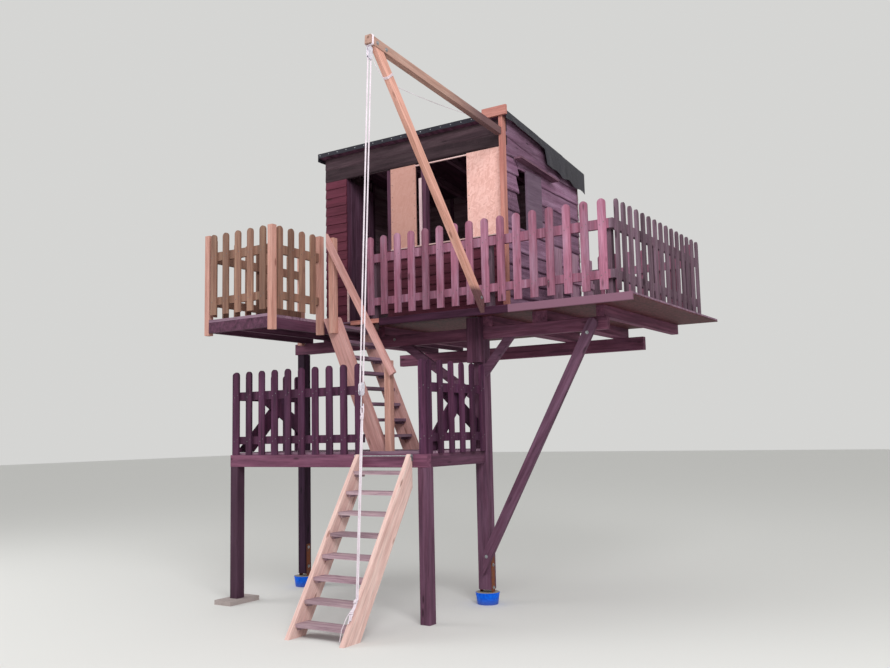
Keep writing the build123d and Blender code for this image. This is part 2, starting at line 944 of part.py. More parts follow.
side_plane_x = landing_right + landing_post_width - picket_thickness
landing_right_railing = railing(
    Plane.YZ.offset(side_plane_x),
    1,
    row(first_landing_picket_y, landing_picket_pitch, landing_side_count),
    upper_picket_bottom,
    upper_picket_top,
    (landing_front + landing_post_width, landing_end_post_y - landing_post_width / 2),
    upper_rail_levels,
)
keep(landing_right_railing, "landing_right_railing")

landing_left_railing = railing(
    Plane.YZ.offset(landing_left - landing_post_width + picket_thickness),
    -1,
    row(first_landing_picket_y, landing_picket_pitch, landing_left_count),
    upper_picket_bottom,
    upper_picket_top,
    (landing_front + landing_post_width, landing_rear_post_y - landing_post_width / 2),
    upper_rail_levels,
)
keep(landing_left_railing, "landing_left_railing")

# Hut: roof line and walls
roof_slope = tan(radians(roof_fall))


def roof_underside(y):
    """Height of the roof's underside at a distance back."""
    return front_wall_top - (y - hut_front) * roof_slope


with BuildPart() as hut_front_cladding:
    with BuildSketch(facing_front(cladding_back)):
        with BuildLine():
            Polyline(
                (door_right, upper_floor_top),
                (hut_right, upper_floor_top),
                (hut_right, sill_top),
                (door_right, sill_top),
                close=True,
            )
        make_face()
        with BuildLine():
            Polyline(
                (hut_left, upper_floor_top),
                (door_left, upper_floor_top),
                (door_left, head_bottom),
                (hut_left, head_bottom),
                close=True,
            )
        make_face()
    extrude(amount=cladding)
keep(hut_front_cladding, "hut_front_cladding")

hut_front_header = timber(
    (hut_left, hut_right),
    (hut_front, cladding_back),
    (head_bottom, roof_underside(cladding_back)),
)
keep(hut_front_header, "hut_front_header")

stud_spans = (
    (door_post_left, door_left),
    (door_right, door_post_right),
    (middle_post_left, middle_post_right),
    (window_right, window_right + window_stud_width),
)
with BuildPart() as hut_front_posts:
    with BuildSketch(Plane.XY.offset(upper_floor_top)):
        for stud_left, stud_right in stud_spans:
            with Locations(((stud_left + stud_right) / 2, cladding_back + stud_depth / 2)):
                Rectangle(stud_right - stud_left, stud_depth)
    extrude(amount=head_bottom - upper_floor_top)
keep(hut_front_posts, "hut_front_posts")

with BuildPart() as hut_front_sheets:
    with BuildSketch(facing_front(cladding_back)):
        for sheet_left, sheet_right in ((door_post_right, left_sheet_right), (window_right, right_sheet_right)):
            with Locations(((sheet_left + sheet_right) / 2, (sill_top + head_bottom) / 2)):
                Rectangle(sheet_right - sheet_left, head_bottom - sill_top)
    extrude(amount=sheet_thickness)
keep(hut_front_sheets, "hut_front_sheets")

side_outline = (
    (cladding_back, upper_floor_top),
    (hut_rear, upper_floor_top),
    (hut_rear, roof_underside(hut_rear)),
    (cladding_back, roof_underside(cladding_back)),
)
with BuildPart() as hut_right_wall:
    with BuildSketch(Plane.YZ.offset(hut_right - wall_thickness)):
        with BuildLine():
            Polyline(*side_outline, close=True)
        make_face()
        with Locations(((side_window_front + side_window_rear) / 2, (side_window_bottom + side_window_top) / 2)):
            Rectangle(side_window_rear - side_window_front, side_window_top - side_window_bottom,
                      mode=Mode.SUBTRACT)
    extrude(amount=wall_thickness)
keep(hut_right_wall, "hut_right_wall")

hut_left_wall = board(Plane.YZ.offset(hut_left), side_outline, wall_thickness)
keep(hut_left_wall, "hut_left_wall")

back_top_front = roof_underside(back_wall_front)
back_top_rear = roof_underside(hut_rear)
hut_back_wall = board(
    Plane.YZ.offset(hut_left + wall_thickness),
    (
        (back_wall_front, upper_floor_top),
        (hut_rear, upper_floor_top),
        (hut_rear, back_top_rear),
        (back_wall_front, back_top_front),
    ),
    hut_right - hut_left - 2 * wall_thickness,
)
keep(hut_back_wall, "hut_back_wall")

roof_front_y = hut_front - roof_front_overhang
roof_rear_y = hut_rear + roof_rear_overhang
hut_roof = board(
    Plane.YZ.offset(hut_left - roof_side_overhang),
    (
        (roof_front_y, roof_underside(roof_front_y)),
        (roof_rear_y, roof_underside(roof_rear_y)),
        (roof_rear_y, roof_underside(roof_rear_y) + roof_thickness),
        (roof_front_y, roof_underside(roof_front_y) + roof_thickness),
    ),
    hut_right - hut_left + 2 * roof_side_overhang,
)
keep(hut_roof, "hut_roof")

with BuildPart() as hut_rafters:
    for rafter_x in row(first_rafter_x, rafter_pitch, rafter_count):
        with BuildSketch(Plane.YZ.offset(rafter_x - rafter_width / 2)):
            with BuildLine():
                Polyline(
                    (cladding_back, roof_underside(cladding_back)),
                    (back_wall_front, back_top_front),
                    (back_wall_front, back_top_front - rafter_depth),
                    (cladding_back, roof_underside(cladding_back) - rafter_depth),
                    close=True,
                )
            make_face()
        extrude(amount=rafter_width)
keep(hut_rafters, "hut_rafters")

# The door leaf stands open inside, turned on its left post
leaf_width = door_right - door_left - door_leaf_gap
leaf_turn = radians(door_leaf_angle)
hinge_corner = (door_left, cladding_back + stud_depth - door_leaf_thickness * cos(leaf_turn))
leaf_end = (hinge_corner[0] + leaf_width * cos(leaf_turn), hinge_corner[1] + leaf_width * sin(leaf_turn))
leaf_side = (-sin(leaf_turn) * door_leaf_thickness, cos(leaf_turn) * door_leaf_thickness)
with BuildPart() as hut_door_leaf:
    with BuildSketch(Plane.XY.offset(upper_floor_top + door_leaf_gap)):
        with BuildLine():
            Polyline(
                hinge_corner,
                leaf_end,
                (leaf_end[0] + leaf_side[0], leaf_end[1] + leaf_side[1]),
                (hinge_corner[0] + leaf_side[0], hinge_corner[1] + leaf_side[1]),
                close=True,
            )
        make_face()
    extrude(amount=head_bottom - upper_floor_top - 2 * door_leaf_gap)
keep(hut_door_leaf, "hut_door_leaf")

hut_side_shutter = timber(
    (hut_right, hut_right + shutter_thickness),
    (shutter_front, side_window_rear + shutter_lap),
    (side_window_bottom - shutter_lap, side_window_top + shutter_lap),
)
keep(hut_side_shutter, "hut_side_shutter")

canopy_front_z = side_window_top + canopy_clearance
canopy_rear_z = canopy_front_z - (canopy_rear - canopy_front) * tan(radians(canopy_pitch))
hut_side_canopy = board(
    Plane.YZ.offset(hut_right),
    strip((canopy_front, canopy_front_z), (canopy_rear, canopy_rear_z), canopy_thickness, "plumb", "plumb"),
    canopy_projection,
)
keep(hut_side_canopy, "hut_side_canopy")

corner_post_front = hut_front - corner_post_depth
corner_post_top = front_wall_top + cap_board_height
corner_post = timber(
    (hut_right - corner_post_width, hut_right),
    (corner_post_front, hut_front),
    (upper_floor_top, front_wall_top),
)
keep(corner_post, "corner_post")

roof_cap_board = timber(
    (cap_board_left, cap_board_right),
    (roof_front_y - cap_board_thickness, roof_front_y),
    (front_wall_top, corner_post_top),
)
keep(roof_cap_board, "roof_cap_board")

# Gallows over the stair
arm_root = (corner_post_front, arm_root_z)
arm_tip = (arm_tip_y, arm_tip_z)
gallows_arm = board(
    Plane.YZ.offset(arm_x - arm_width / 2),
    strip(arm_root, arm_tip, arm_depth, "plumb", "square"),
    arm_width,
)
keep(gallows_arm, "gallows_arm")

arm_rise = (arm_tip_z - arm_root_z) / (arm_tip_y - corner_post_front)


def arm_underside(y):
    """Height of the arm's lower face at a distance back."""
    centre = arm_root_z + (y - corner_post_front) * arm_rise
    return centre - arm_depth / 2 / cos(atan2(abs(arm_rise), 1))


brace_head_z = arm_underside(brace_head_y)
brace_run = rim_board_front - brace_head_y
brace_fall = brace_head_z - brace_foot_z
brace_length = hypot(brace_run, brace_fall)
side_step = (brace_depth / 2 * brace_fall / brace_length, brace_depth / 2 * brace_run / brace_length)
gradient = -brace_fall / brace_run


def brace_edge(side, y):
    """Height of the brace's upper (1) or lower (-1) edge at a distance back."""
    start_y = brace_head_y + side * side_step[0]
    start_z = brace_head_z + side * side_step[1]
    return start_z + (y - start_y) * gradient


def meets_arm(side):
    """Where a brace edge meets the arm's lower face."""
    under_zero = arm_underside(0)
    edge_zero = brace_edge(side, 0)
    y = (edge_zero - under_zero) / (arm_rise - gradient)
    return (y, arm_underside(y))


gallows_brace = board(
    Plane.YZ.offset(arm_x - brace_width / 2),
    (
        meets_arm(1),
        (rim_board_front, brace_edge(1, rim_board_front)),
        (rim_board_front, brace_edge(-1, rim_board_front)),
        meets_arm(-1),
    ),
    brace_width,
)
keep(gallows_brace, "gallows_brace")

# Tackle: blocks, falls and the rope down to the stair's foot
block_top = (arm_x, block_y, arm_underside(block_y))
tie_y = toe_y + tie_height / tan(slope)
tie_point = (stair_right - stringer_thickness * 3 / 4, tie_y, tie_height)
fall_line = Vector(*tie_point) - Vector(*block_top)
down = fall_line.normalized()


def on_line(height):
    """The point of the tackle's line at a height."""
    share = (block_top[2] - height) / (block_top[2] - tie_point[2])
    return Vector(*block_top) + fall_line * share


def pulley_block(top_point):
    """A pulley block along the tackle's line: two slotted cheeks with a sheave between them."""
    length_plane = Plane(origin=top_point, x_dir=down, z_dir=down.cross(Vector(0, 1, 0)))
    cheek_start = sheave_thickness / 2
    with BuildPart() as block:
        for cheek_face in (-cheek_start - block_thickness, cheek_start):
            with BuildSketch(length_plane.offset(cheek_face)):
                with Locations((block_length / 2, 0)):
                    SlotOverall(block_length, 2 * block_radius)
            extrude(amount=block_thickness)
        with BuildSketch(length_plane.offset(-cheek_start)):
            with Locations((block_length / 2, 0)):
                Circle(sheave_radius)
        extrude(amount=sheave_thickness)
    return block


upper_block = pulley_block(on_line(block_top[2] - block_radius / 2))

lower_block_top = on_line(lower_block_height)
lower_sheave = pulley_block(lower_block_top)
hook_plane = Plane(origin=lower_block_top, x_dir=down, z_dir=down.cross(Vector(0, 1, 0)))
hook_bend = block_length + hook_height - hook_radius
with BuildPart() as lower_block:
    add(lower_sheave.part)
    with BuildLine(hook_plane) as hook_line:
        Line((block_length / 2, 0), (hook_bend, 0))
        CenterArc((hook_bend, hook_radius), hook_radius, -90, 230)
    with BuildSketch(Plane(origin=hook_line.line @ 0, z_dir=hook_line.line % 0)):
        Circle(hook_wire)
    sweep(path=hook_line.line)
pulley_blocks = together(upper_block, lower_block)
keep(pulley_blocks, "pulley_blocks")

sheave_upper = on_line(block_top[2] - block_radius / 2) + down * (block_length / 2)
sheave_lower = lower_block_top + down * (block_length / 2)
fall_side = down.cross(Vector(0, 1, 0)).cross(down)


def rope(runs, radius):
    """Straight runs of rope, each between two points."""
    with BuildPart() as laid:
        for start, end in runs:
            with BuildSketch(Plane(origin=start, z_dir=end - start)):
                Circle(radius)
            extrude(amount=(end - start).length)
    return laid


fall_offset = fall_side * (sheave_radius + rope_play + rope_radius)
rope_falls = rope(
    [
        (sheave_upper - fall_offset, sheave_lower - fall_offset),
        (sheave_upper + fall_offset, sheave_lower + fall_offset),
    ],
    rope_radius,
)

hook_bottom = lower_block_top + down * (block_length + hook_height + hook_wire)
tied_rope = rope([(hook_bottom + hook_plane.y_dir * hook_radius, Vector(*tie_point))], rope_radius)
with BuildPart() as pendant_rope:
    add(tied_rope.part)
    add(stair_stringers.part, mode=Mode.SUBTRACT)
keep(pendant_rope, "pendant_rope")

cord_lashing = Vector(arm_x - brace_width / 2 - cord_radius, cord_lashing_y, cord_lashing_z)
cord_end = Vector(cord_end_x, roof_front_y - cap_board_thickness - cord_radius, cord_end_z)
guy_cord = rope([(cord_lashing, cord_end)], cord_radius)
tackle_ropes = together(rope_falls, guy_cord)
keep(tackle_ropes, "tackle_ropes")

# Low grey rail that stands on the upper deck beside the hut
with BuildPart() as grey_low_rail:
    with BuildSketch(Plane.YZ.offset(grey_rail_x)):
        for board_front, board_rear in grey_board_spans:
            with Locations(((board_front + board_rear) / 2, upper_floor_top + grey_board_height / 2)):
                Rectangle(board_rear - board_front, grey_board_height)
    extrude(amount=-picket_thickness)
    with BuildSketch(Plane.YZ.offset(grey_rail_x)):
        rail_middle = (grey_board_spans[0][0] + grey_board_spans[-1][1]) / 2
        with Locations((rail_middle, upper_floor_top + grey_rail_level)):
            Rectangle(grey_board_spans[-1][1] - grey_board_spans[0][0], grey_rail_depth)
    extrude(amount=picket_thickness)
keep(grey_low_rail, "grey_low_rail")
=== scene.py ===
"""Looks of a timber tree house: stained posts and pickets, pale new stairs, rough boards, rope and steel."""
import math

import bmesh
import bpy
from mathutils import Matrix, Vector, noise


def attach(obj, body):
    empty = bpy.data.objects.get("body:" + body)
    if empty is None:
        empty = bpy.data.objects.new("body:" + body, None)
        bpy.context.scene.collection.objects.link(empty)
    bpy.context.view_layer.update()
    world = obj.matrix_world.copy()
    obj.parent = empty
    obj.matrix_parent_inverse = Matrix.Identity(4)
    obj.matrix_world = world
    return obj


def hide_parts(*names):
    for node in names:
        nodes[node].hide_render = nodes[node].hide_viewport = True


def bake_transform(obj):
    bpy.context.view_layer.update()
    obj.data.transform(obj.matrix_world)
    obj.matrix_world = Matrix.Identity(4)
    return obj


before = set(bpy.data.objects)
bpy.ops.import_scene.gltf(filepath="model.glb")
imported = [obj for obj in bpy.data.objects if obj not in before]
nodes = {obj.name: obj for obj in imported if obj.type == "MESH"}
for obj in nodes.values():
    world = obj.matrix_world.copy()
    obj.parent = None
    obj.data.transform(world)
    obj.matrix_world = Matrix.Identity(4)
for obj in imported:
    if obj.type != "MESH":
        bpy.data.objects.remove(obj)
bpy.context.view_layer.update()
MM = 0.001
FULL_TURN = 2 * math.pi

# The viewpoint: the picture and the lens in pixels, the eye in metres, and the way that it faces
IMAGE_WIDTH = 890
IMAGE_CENTRE = 445
PRINCIPAL_COLUMN = 443
FOCAL_PIXELS = 895.64
SENSOR_MM = 36.0
EYE = (4.649, -7.964, 1.705)
HEADING = math.radians(32.724)
PITCH = math.radians(6.320)
ROLL = math.radians(-1.193)


def srgb(code):
    """Linear RGBA from an sRGB hex code."""
    channels = [int(code[place:place + 2], 16) / 255 for place in (1, 3, 5)]
    return [c / 12.92 if c <= 0.04045 else ((c + 0.055) / 1.055) ** 2.4 for c in channels] + [1.0]


def add_node(tree, kind, values=None, links=None, stops=(), **settings):
    """Adds a node with its properties, input values, colour stops, and links from other sockets."""
    made = tree.nodes.new(kind)
    for name, setting in settings.items():
        setattr(made, name, setting)
    for socket, value in (values or {}).items():
        made.inputs[socket].default_value = value
    for socket, source in (links or {}).items():
        tree.links.new(source, made.inputs[socket])
    if stops:
        points = made.color_ramp.elements
        while len(points) < len(stops):
            points.new(0.5)
        for point, (place, code) in zip(points, stops):
            point.position = place
            point.color = srgb(code)
    return made


# Weathered and dusty surfaces shine less than the shader's usual level, which stays on metal
DULL_SHINE, METAL_SHINE = 0.16, 0.5


def new_material(name, roughness, metallic=0.0):
    """An empty material with its shader, its tree and object coordinates."""
    material = bpy.data.materials.new(name)
    material.use_nodes = True
    tree = material.node_tree
    shader = tree.nodes["Principled BSDF"]
    shader.inputs["Roughness"].default_value = roughness
    shader.inputs["Metallic"].default_value = metallic
    shader.inputs["Specular IOR Level"].default_value = METAL_SHINE if metallic else DULL_SHINE
    place = add_node(tree, "ShaderNodeTexCoord").outputs["Object"]
    return material, tree, shader, place


def finish_surface(tree, shader, colour, height, strength, depth_mm):
    """Joins the colour and the relief to the shader."""
    tree.links.new(colour, shader.inputs["Base Color"])
    relief = add_node(tree, "ShaderNodeBump", links={"Height": height},
                      values={"Strength": strength, "Distance": depth_mm * MM})
    tree.links.new(relief.outputs[0], shader.inputs["Normal"])


# Turns that lay the grain along an axis of the tree house
ALONG = {
    "X": (0.0, 0.0, 0.0),
    "Y": (0.0, 0.0, math.radians(-90)),
    "Z": (0.0, math.radians(90), 0.0),
}


def slant_x(rise, run):
    """The turn for grain that runs along X and climbs."""
    return (0.0, math.atan2(rise, run), 0.0)


def slant_y(rise, run):
    """The turn for grain that runs along Y and climbs."""
    return (-math.atan2(rise, run), 0.0, math.radians(-90))


# How fine each pattern of the timber is, per metre along the board and across it
RING_STRETCH = (0.8, 14.0, 14.0)
FIBRE_STRETCH = (6.0, 110.0, 110.0)
KNOT_STRETCH = (2.6, 9.0, 9.0)
PATCH_STRETCH = (1.1, 7.0, 7.0)
STEM_JUMP = 5.0
TIMBER_RELIEF, TIMBER_RELIEF_MM = 0.35, 2.5


def sawn_timber(name, along, tones, boards=None, roughness=0.75, weathering=0.35, knots=True, spread=0.2,
                changed=None):
    """Sawn softwood: growth rings drawn out along the board, knots, and greying in patches.

    Real late wood bands are 2 to 4 mm wide; they are drawn 9 mm wide so that they show. A length in another
    tone is given as axis, start and full change in mm, tone and share; some of these lengths are painted
    shade.
    """
    material, tree, shader, place = new_material(name, roughness)
    turn = ALONG[along] if isinstance(along, str) else along
    laid = add_node(tree, "ShaderNodeMapping", links={"Vector": place}, values={"Rotation": turn}).outputs[0]
    # Each board is cut from another stem, so the pattern jumps and the tone shifts between boards
    if boards:
        board_axis, first_mm, pitch_mm = boards
        split = add_node(tree, "ShaderNodeSeparateXYZ", links={"Vector": place})
        counted = add_node(tree, "ShaderNodeMath", operation="MULTIPLY_ADD",
                           links={0: split.outputs[board_axis]},
                           values={1: 1 / (pitch_mm * MM), 2: -first_mm / pitch_mm})
        whole = add_node(tree, "ShaderNodeMath", operation="FLOOR", links={0: counted.outputs[0]})
        number = whole.outputs[0]
    else:
        number = add_node(tree, "ShaderNodeAttribute", attribute_name="board").outputs["Fac"]
    tone = add_node(tree, "ShaderNodeTexWhiteNoise", noise_dimensions="1D", links={"W": number})
    shift = add_node(tree, "ShaderNodeVectorMath", operation="SCALE", links={0: tone.outputs["Color"]},
                     values={"Scale": STEM_JUMP})
    jumped = add_node(tree, "ShaderNodeVectorMath", operation="ADD", links={0: laid, 1: shift.outputs[0]})
    laid = jumped.outputs[0]
    drawn = add_node(tree, "ShaderNodeMapping", links={"Vector": laid}, values={"Scale": RING_STRETCH})
    rings = add_node(tree, "ShaderNodeTexNoise", links={"Vector": drawn.outputs[0]},
                     values={"Scale": 1.6, "Detail": 5.0, "Roughness": 0.62, "Distortion": 0.4})
    fibre_place = add_node(tree, "ShaderNodeMapping", links={"Vector": laid}, values={"Scale": FIBRE_STRETCH})
    fibres = add_node(tree, "ShaderNodeTexNoise", links={"Vector": fibre_place.outputs[0]},
                      values={"Scale": 1.0, "Detail": 3.0, "Roughness": 0.6})
    banded = add_node(tree, "ShaderNodeValToRGB", links={"Fac": rings.outputs["Fac"]},
                      stops=((0.30, tones[0]), (0.52, tones[1]), (0.72, tones[2])))
    streaks = add_node(tree, "ShaderNodeValToRGB", links={"Fac": fibres.outputs["Fac"]},
                       stops=((0.25, "#c8c8c8"), (0.6, "#ffffff")))
    colour = add_node(tree, "ShaderNodeMix", data_type="RGBA", blend_type="MULTIPLY", values={0: 0.7},
                      links={6: banded.outputs[0], 7: streaks.outputs[0]}).outputs[2]
    if knots:
        knot_place = add_node(tree, "ShaderNodeMapping", links={"Vector": laid},
                              values={"Scale": KNOT_STRETCH})
        knot = add_node(tree, "ShaderNodeTexVoronoi", links={"Vector": knot_place.outputs[0]},
                        values={"Scale": 1.0})
        spot = add_node(tree, "ShaderNodeMapRange", links={"Value": knot.outputs["Distance"]},
                        values={"From Min": 0.07, "From Max": 0.14, "To Min": 0.75, "To Max": 0.0})
        colour = add_node(tree, "ShaderNodeMix", data_type="RGBA", values={7: srgb(tones[3])},
                          links={0: spot.outputs[0], 6: colour}).outputs[2]
    patch_place = add_node(tree, "ShaderNodeMapping", links={"Vector": laid}, values={"Scale": PATCH_STRETCH})
    patches = add_node(tree, "ShaderNodeTexNoise", links={"Vector": patch_place.outputs[0]},
                       values={"Scale": 1.3, "Detail": 5.0, "Roughness": 0.7})
    worn = add_node(tree, "ShaderNodeMapRange", links={"Value": patches.outputs["Fac"]},
                    values={"From Min": 0.45, "From Max": 0.75, "To Min": 0.0, "To Max": weathering})
    colour = add_node(tree, "ShaderNodeMix", data_type="RGBA", values={7: srgb(tones[4])},
                      links={0: worn.outputs[0], 6: colour}).outputs[2]
    shade = add_node(tree, "ShaderNodeMapRange", links={"Value": tone.outputs["Value"]},
                     values={"To Min": 1 - spread, "To Max": 1 + spread / 2})
    colour = add_node(tree, "ShaderNodeMix", data_type="RGBA", blend_type="MULTIPLY", values={0: 1.0},
                      links={6: colour, 7: shade.outputs[0]}).outputs[2]
    if changed:
        change_axis, change_start, change_full, change_tone, share = changed
        position = add_node(tree, "ShaderNodeSeparateXYZ", links={"Vector": place})
        reach = add_node(tree, "ShaderNodeMapRange", links={"Value": position.outputs[change_axis]},
                         values={"From Min": change_start * MM, "From Max": change_full * MM,
                                 "To Max": share})
        colour = add_node(tree, "ShaderNodeMix", data_type="RGBA", values={7: srgb(change_tone)},
                          links={0: reach.outputs[0], 6: colour}).outputs[2]
    heights = add_node(tree, "ShaderNodeMath", operation="ADD",
                       links={0: rings.outputs["Fac"], 1: fibres.outputs["Fac"]})
    finish_surface(tree, shader, colour, heights.outputs[0], TIMBER_RELIEF, TIMBER_RELIEF_MM)
    return material


# Layers of flakes, each with its turn and its place in the pattern, and the fineness of a flake per metre
FLAKE_LAYERS = ((0.35, 0.0), (-0.6, 3.0), (1.3, 7.0))
FLAKE_FINENESS = (17.0, 30.0, 66.0)
SHADED_SHARE = 0.75


def strand_board(name, tones, painted_shade=None):
    """Oriented strand board, pressed from glued flakes: long flakes at all angles, some pale and some dark.

    Real flakes are about 60 by 15 mm, and are drawn at that size. A sheet left of a line in mm is darkened,
    which is painted shade.
    """
    material, tree, shader, place = new_material(name, roughness=0.6)
    layers = []
    for turn, shift in FLAKE_LAYERS:
        turned = add_node(tree, "ShaderNodeMapping", links={"Vector": place},
                          values={"Rotation": (0.0, turn, 0.0), "Location": (shift, shift, shift)})
        flat = add_node(tree, "ShaderNodeMapping", links={"Vector": turned.outputs[0]},
                        values={"Scale": FLAKE_FINENESS})
        layers.append(add_node(tree, "ShaderNodeTexVoronoi", links={"Vector": flat.outputs[0]},
                               values={"Scale": 1.0}))
    parts = [add_node(tree, "ShaderNodeSeparateColor", links={0: layer.outputs["Color"]})
             for layer in layers]
    over = add_node(tree, "ShaderNodeMath", operation="GREATER_THAN", links={0: parts[0].outputs[1]},
                    values={1: 0.5})
    upper = add_node(tree, "ShaderNodeMix", links={0: over.outputs[0], 2: parts[1].outputs[0],
                                                   3: parts[0].outputs[0]})
    top = add_node(tree, "ShaderNodeMath", operation="GREATER_THAN", links={0: parts[2].outputs[1]},
                   values={1: 0.6})
    flakes = add_node(tree, "ShaderNodeMix", links={0: top.outputs[0], 2: upper.outputs[0],
                                                    3: parts[2].outputs[0]})
    colour = add_node(tree, "ShaderNodeValToRGB", links={"Fac": flakes.outputs[0]},
                      stops=((0.0, tones[0]), (0.45, tones[1]), (1.0, tones[2]))).outputs[0]
    # Left of the line the sheet is darkened: painted shade
    if painted_shade:
        shaded_right, shaded_tone = painted_shade
        position = add_node(tree, "ShaderNodeSeparateXYZ", links={"Vector": place})
        in_shade = add_node(tree, "ShaderNodeMath", operation="LESS_THAN", links={0: position.outputs["X"]},
                         values={1: shaded_right * MM})
        share = add_node(tree, "ShaderNodeMath", operation="MULTIPLY", links={0: in_shade.outputs[0]},
                         values={1: SHADED_SHARE})
        colour = add_node(tree, "ShaderNodeMix", data_type="RGBA", values={7: srgb(shaded_tone)},
                          links={0: share.outputs[0], 6: colour}).outputs[2]
    finish_surface(tree, shader, colour, flakes.outputs[0], strength=0.06, depth_mm=1.0)
    return material


def roofing_felt(name):
    """Bitumen roofing felt with a slate granule face: dark blue grey, speckled, dull, creased at its folds.

    Real granules are about 1 mm; they are drawn 5 mm so that they show.
    """
    material, tree, shader, place = new_material(name, roughness=0.62)
    shader.inputs["Sheen Weight"].default_value = 0.15
    granules = add_node(tree, "ShaderNodeTexNoise", links={"Vector": place},
                        values={"Scale": 200.0, "Detail": 2.0, "Roughness": 0.7})
    creases = add_node(tree, "ShaderNodeTexNoise", links={"Vector": place},
                       values={"Scale": 4.0, "Detail": 4.0, "Roughness": 0.6, "Distortion": 0.5})
    speckled = add_node(tree, "ShaderNodeValToRGB", links={"Fac": granules.outputs["Fac"]},
                        stops=((0.35, "#15131d"), (0.55, "#201e29"), (0.75, "#33303e")))
    washed = add_node(tree, "ShaderNodeMapRange", links={"Value": creases.outputs["Fac"]},
                      values={"From Min": 0.4, "From Max": 0.7, "To Min": 0.0, "To Max": 0.5})
    colour = add_node(tree, "ShaderNodeMix", data_type="RGBA", values={7: srgb("#2d2c38")},
                      links={0: washed.outputs[0], 6: speckled.outputs[0]})
    rough = add_node(tree, "ShaderNodeMath", operation="MULTIPLY_ADD", values={1: 4.0},
                     links={0: creases.outputs["Fac"], 2: granules.outputs["Fac"]})
    finish_surface(tree, shader, colour.outputs[2], rough.outputs[0], strength=0.5, depth_mm=3.0)
    return material


def steel(name, tones, rust, roughness):
    """Flat or round steel, zinc coated or rolled: a dull spangle 12 mm across, and rust in spots."""
    material, tree, shader, place = new_material(name, roughness, 0.75 * (1 - rust))
    spangle = add_node(tree, "ShaderNodeTexVoronoi", links={"Vector": place}, values={"Scale": 80.0})
    plain = add_node(tree, "ShaderNodeSeparateColor", links={0: spangle.outputs["Color"]})
    coat = add_node(tree, "ShaderNodeValToRGB", links={"Fac": plain.outputs[0]},
                    stops=((0.0, tones[0]), (1.0, tones[1])))
    spots = add_node(tree, "ShaderNodeTexNoise", links={"Vector": place},
                     values={"Scale": 28.0, "Detail": 5.0, "Roughness": 0.7})
    spread = add_node(tree, "ShaderNodeMapRange", links={"Value": spots.outputs["Fac"]},
                      values={"From Min": 0.62 - 0.3 * rust, "From Max": 0.75 - 0.25 * rust})
    colour = add_node(tree, "ShaderNodeMix", data_type="RGBA", values={7: srgb(tones[2])},
                      links={0: spread.outputs[0], 6: coat.outputs[0]})
    finish_surface(tree, shader, colour.outputs[2], spots.outputs["Fac"], strength=0.3, depth_mm=0.6)
    return material


def concrete(name, tones, pore_mm):
    """Cast concrete: sand speckle, darker damp patches and small air pores."""
    material, tree, shader, place = new_material(name, roughness=0.9)
    sand = add_node(tree, "ShaderNodeTexNoise", links={"Vector": place},
                    values={"Scale": 1000.0 / (2 * pore_mm), "Detail": 4.0, "Roughness": 0.75})
    damp = add_node(tree, "ShaderNodeTexNoise", links={"Vector": place},
                    values={"Scale": 7.0, "Detail": 4.0, "Roughness": 0.6})
    speckled = add_node(tree, "ShaderNodeValToRGB", links={"Fac": sand.outputs["Fac"]},
                        stops=((0.3, tones[0]), (0.5, tones[1]), (0.7, tones[2])))
    wet = add_node(tree, "ShaderNodeMapRange", links={"Value": damp.outputs["Fac"]},
                   values={"From Min": 0.5, "From Max": 0.7, "To Min": 0.0, "To Max": 0.45})
    colour = add_node(tree, "ShaderNodeMix", data_type="RGBA", values={7: srgb(tones[0])},
                      links={0: wet.outputs[0], 6: speckled.outputs[0]})
    finish_surface(tree, shader, colour.outputs[2], sand.outputs["Fac"], strength=0.5, depth_mm=2.0)
    return material


def moulded_plastic(name, clean, dirty, dirt_top_mm):
    """Moulded polypropylene of a bucket: even and waxy, scuffed, and splashed with soil at its foot."""
    material, tree, shader, place = new_material(name, roughness=0.42)
    scuffs = add_node(tree, "ShaderNodeTexNoise", links={"Vector": place},
                      values={"Scale": 45.0, "Detail": 4.0, "Roughness": 0.7})
    height = add_node(tree, "ShaderNodeSeparateXYZ", links={"Vector": place})
    low = add_node(tree, "ShaderNodeMapRange", links={"Value": height.outputs["Z"]},
                   values={"From Min": 0.0, "From Max": dirt_top_mm * MM, "To Min": 1.0, "To Max": 0.0})
    dirt = add_node(tree, "ShaderNodeMath", operation="MULTIPLY",
                    links={0: low.outputs[0], 1: scuffs.outputs["Fac"]})
    base = add_node(tree, "ShaderNodeValToRGB", links={"Fac": scuffs.outputs["Fac"]},
                    stops=((0.35, clean[0]), (0.65, clean[1])))
    colour = add_node(tree, "ShaderNodeMix", data_type="RGBA", values={7: srgb(dirty)},
                      links={0: dirt.outputs[0], 6: base.outputs[0]})
    finish_surface(tree, shader, colour.outputs[2], scuffs.outputs["Fac"], strength=0.15, depth_mm=0.5)
    return material


def laid_polypropylene(name, tones):
    """Three-strand polypropylene rope: off-white yarns 1 mm thick, drawn 2 mm thick, greyed by handling."""
    material, tree, shader, place = new_material(name, roughness=0.6)
    shader.inputs["Sheen Weight"].default_value = 0.2
    yarns = add_node(tree, "ShaderNodeTexNoise", links={"Vector": place},
                     values={"Scale": 500.0, "Detail": 2.0, "Roughness": 0.6})
    handled = add_node(tree, "ShaderNodeTexNoise", links={"Vector": place},
                       values={"Scale": 9.0, "Detail": 3.0, "Roughness": 0.6})
    fibre = add_node(tree, "ShaderNodeValToRGB", links={"Fac": yarns.outputs["Fac"]},
                     stops=((0.3, tones[0]), (0.65, tones[1])))
    grime = add_node(tree, "ShaderNodeMapRange", links={"Value": handled.outputs["Fac"]},
                     values={"From Min": 0.45, "From Max": 0.75, "To Min": 0.0, "To Max": 0.4})
    colour = add_node(tree, "ShaderNodeMix", data_type="RGBA", values={7: srgb(tones[2])},
                      links={0: grime.outputs[0], 6: fibre.outputs[0]})
    finish_surface(tree, shader, colour.outputs[2], yarns.outputs["Fac"], strength=0.4, depth_mm=0.6)
    return material


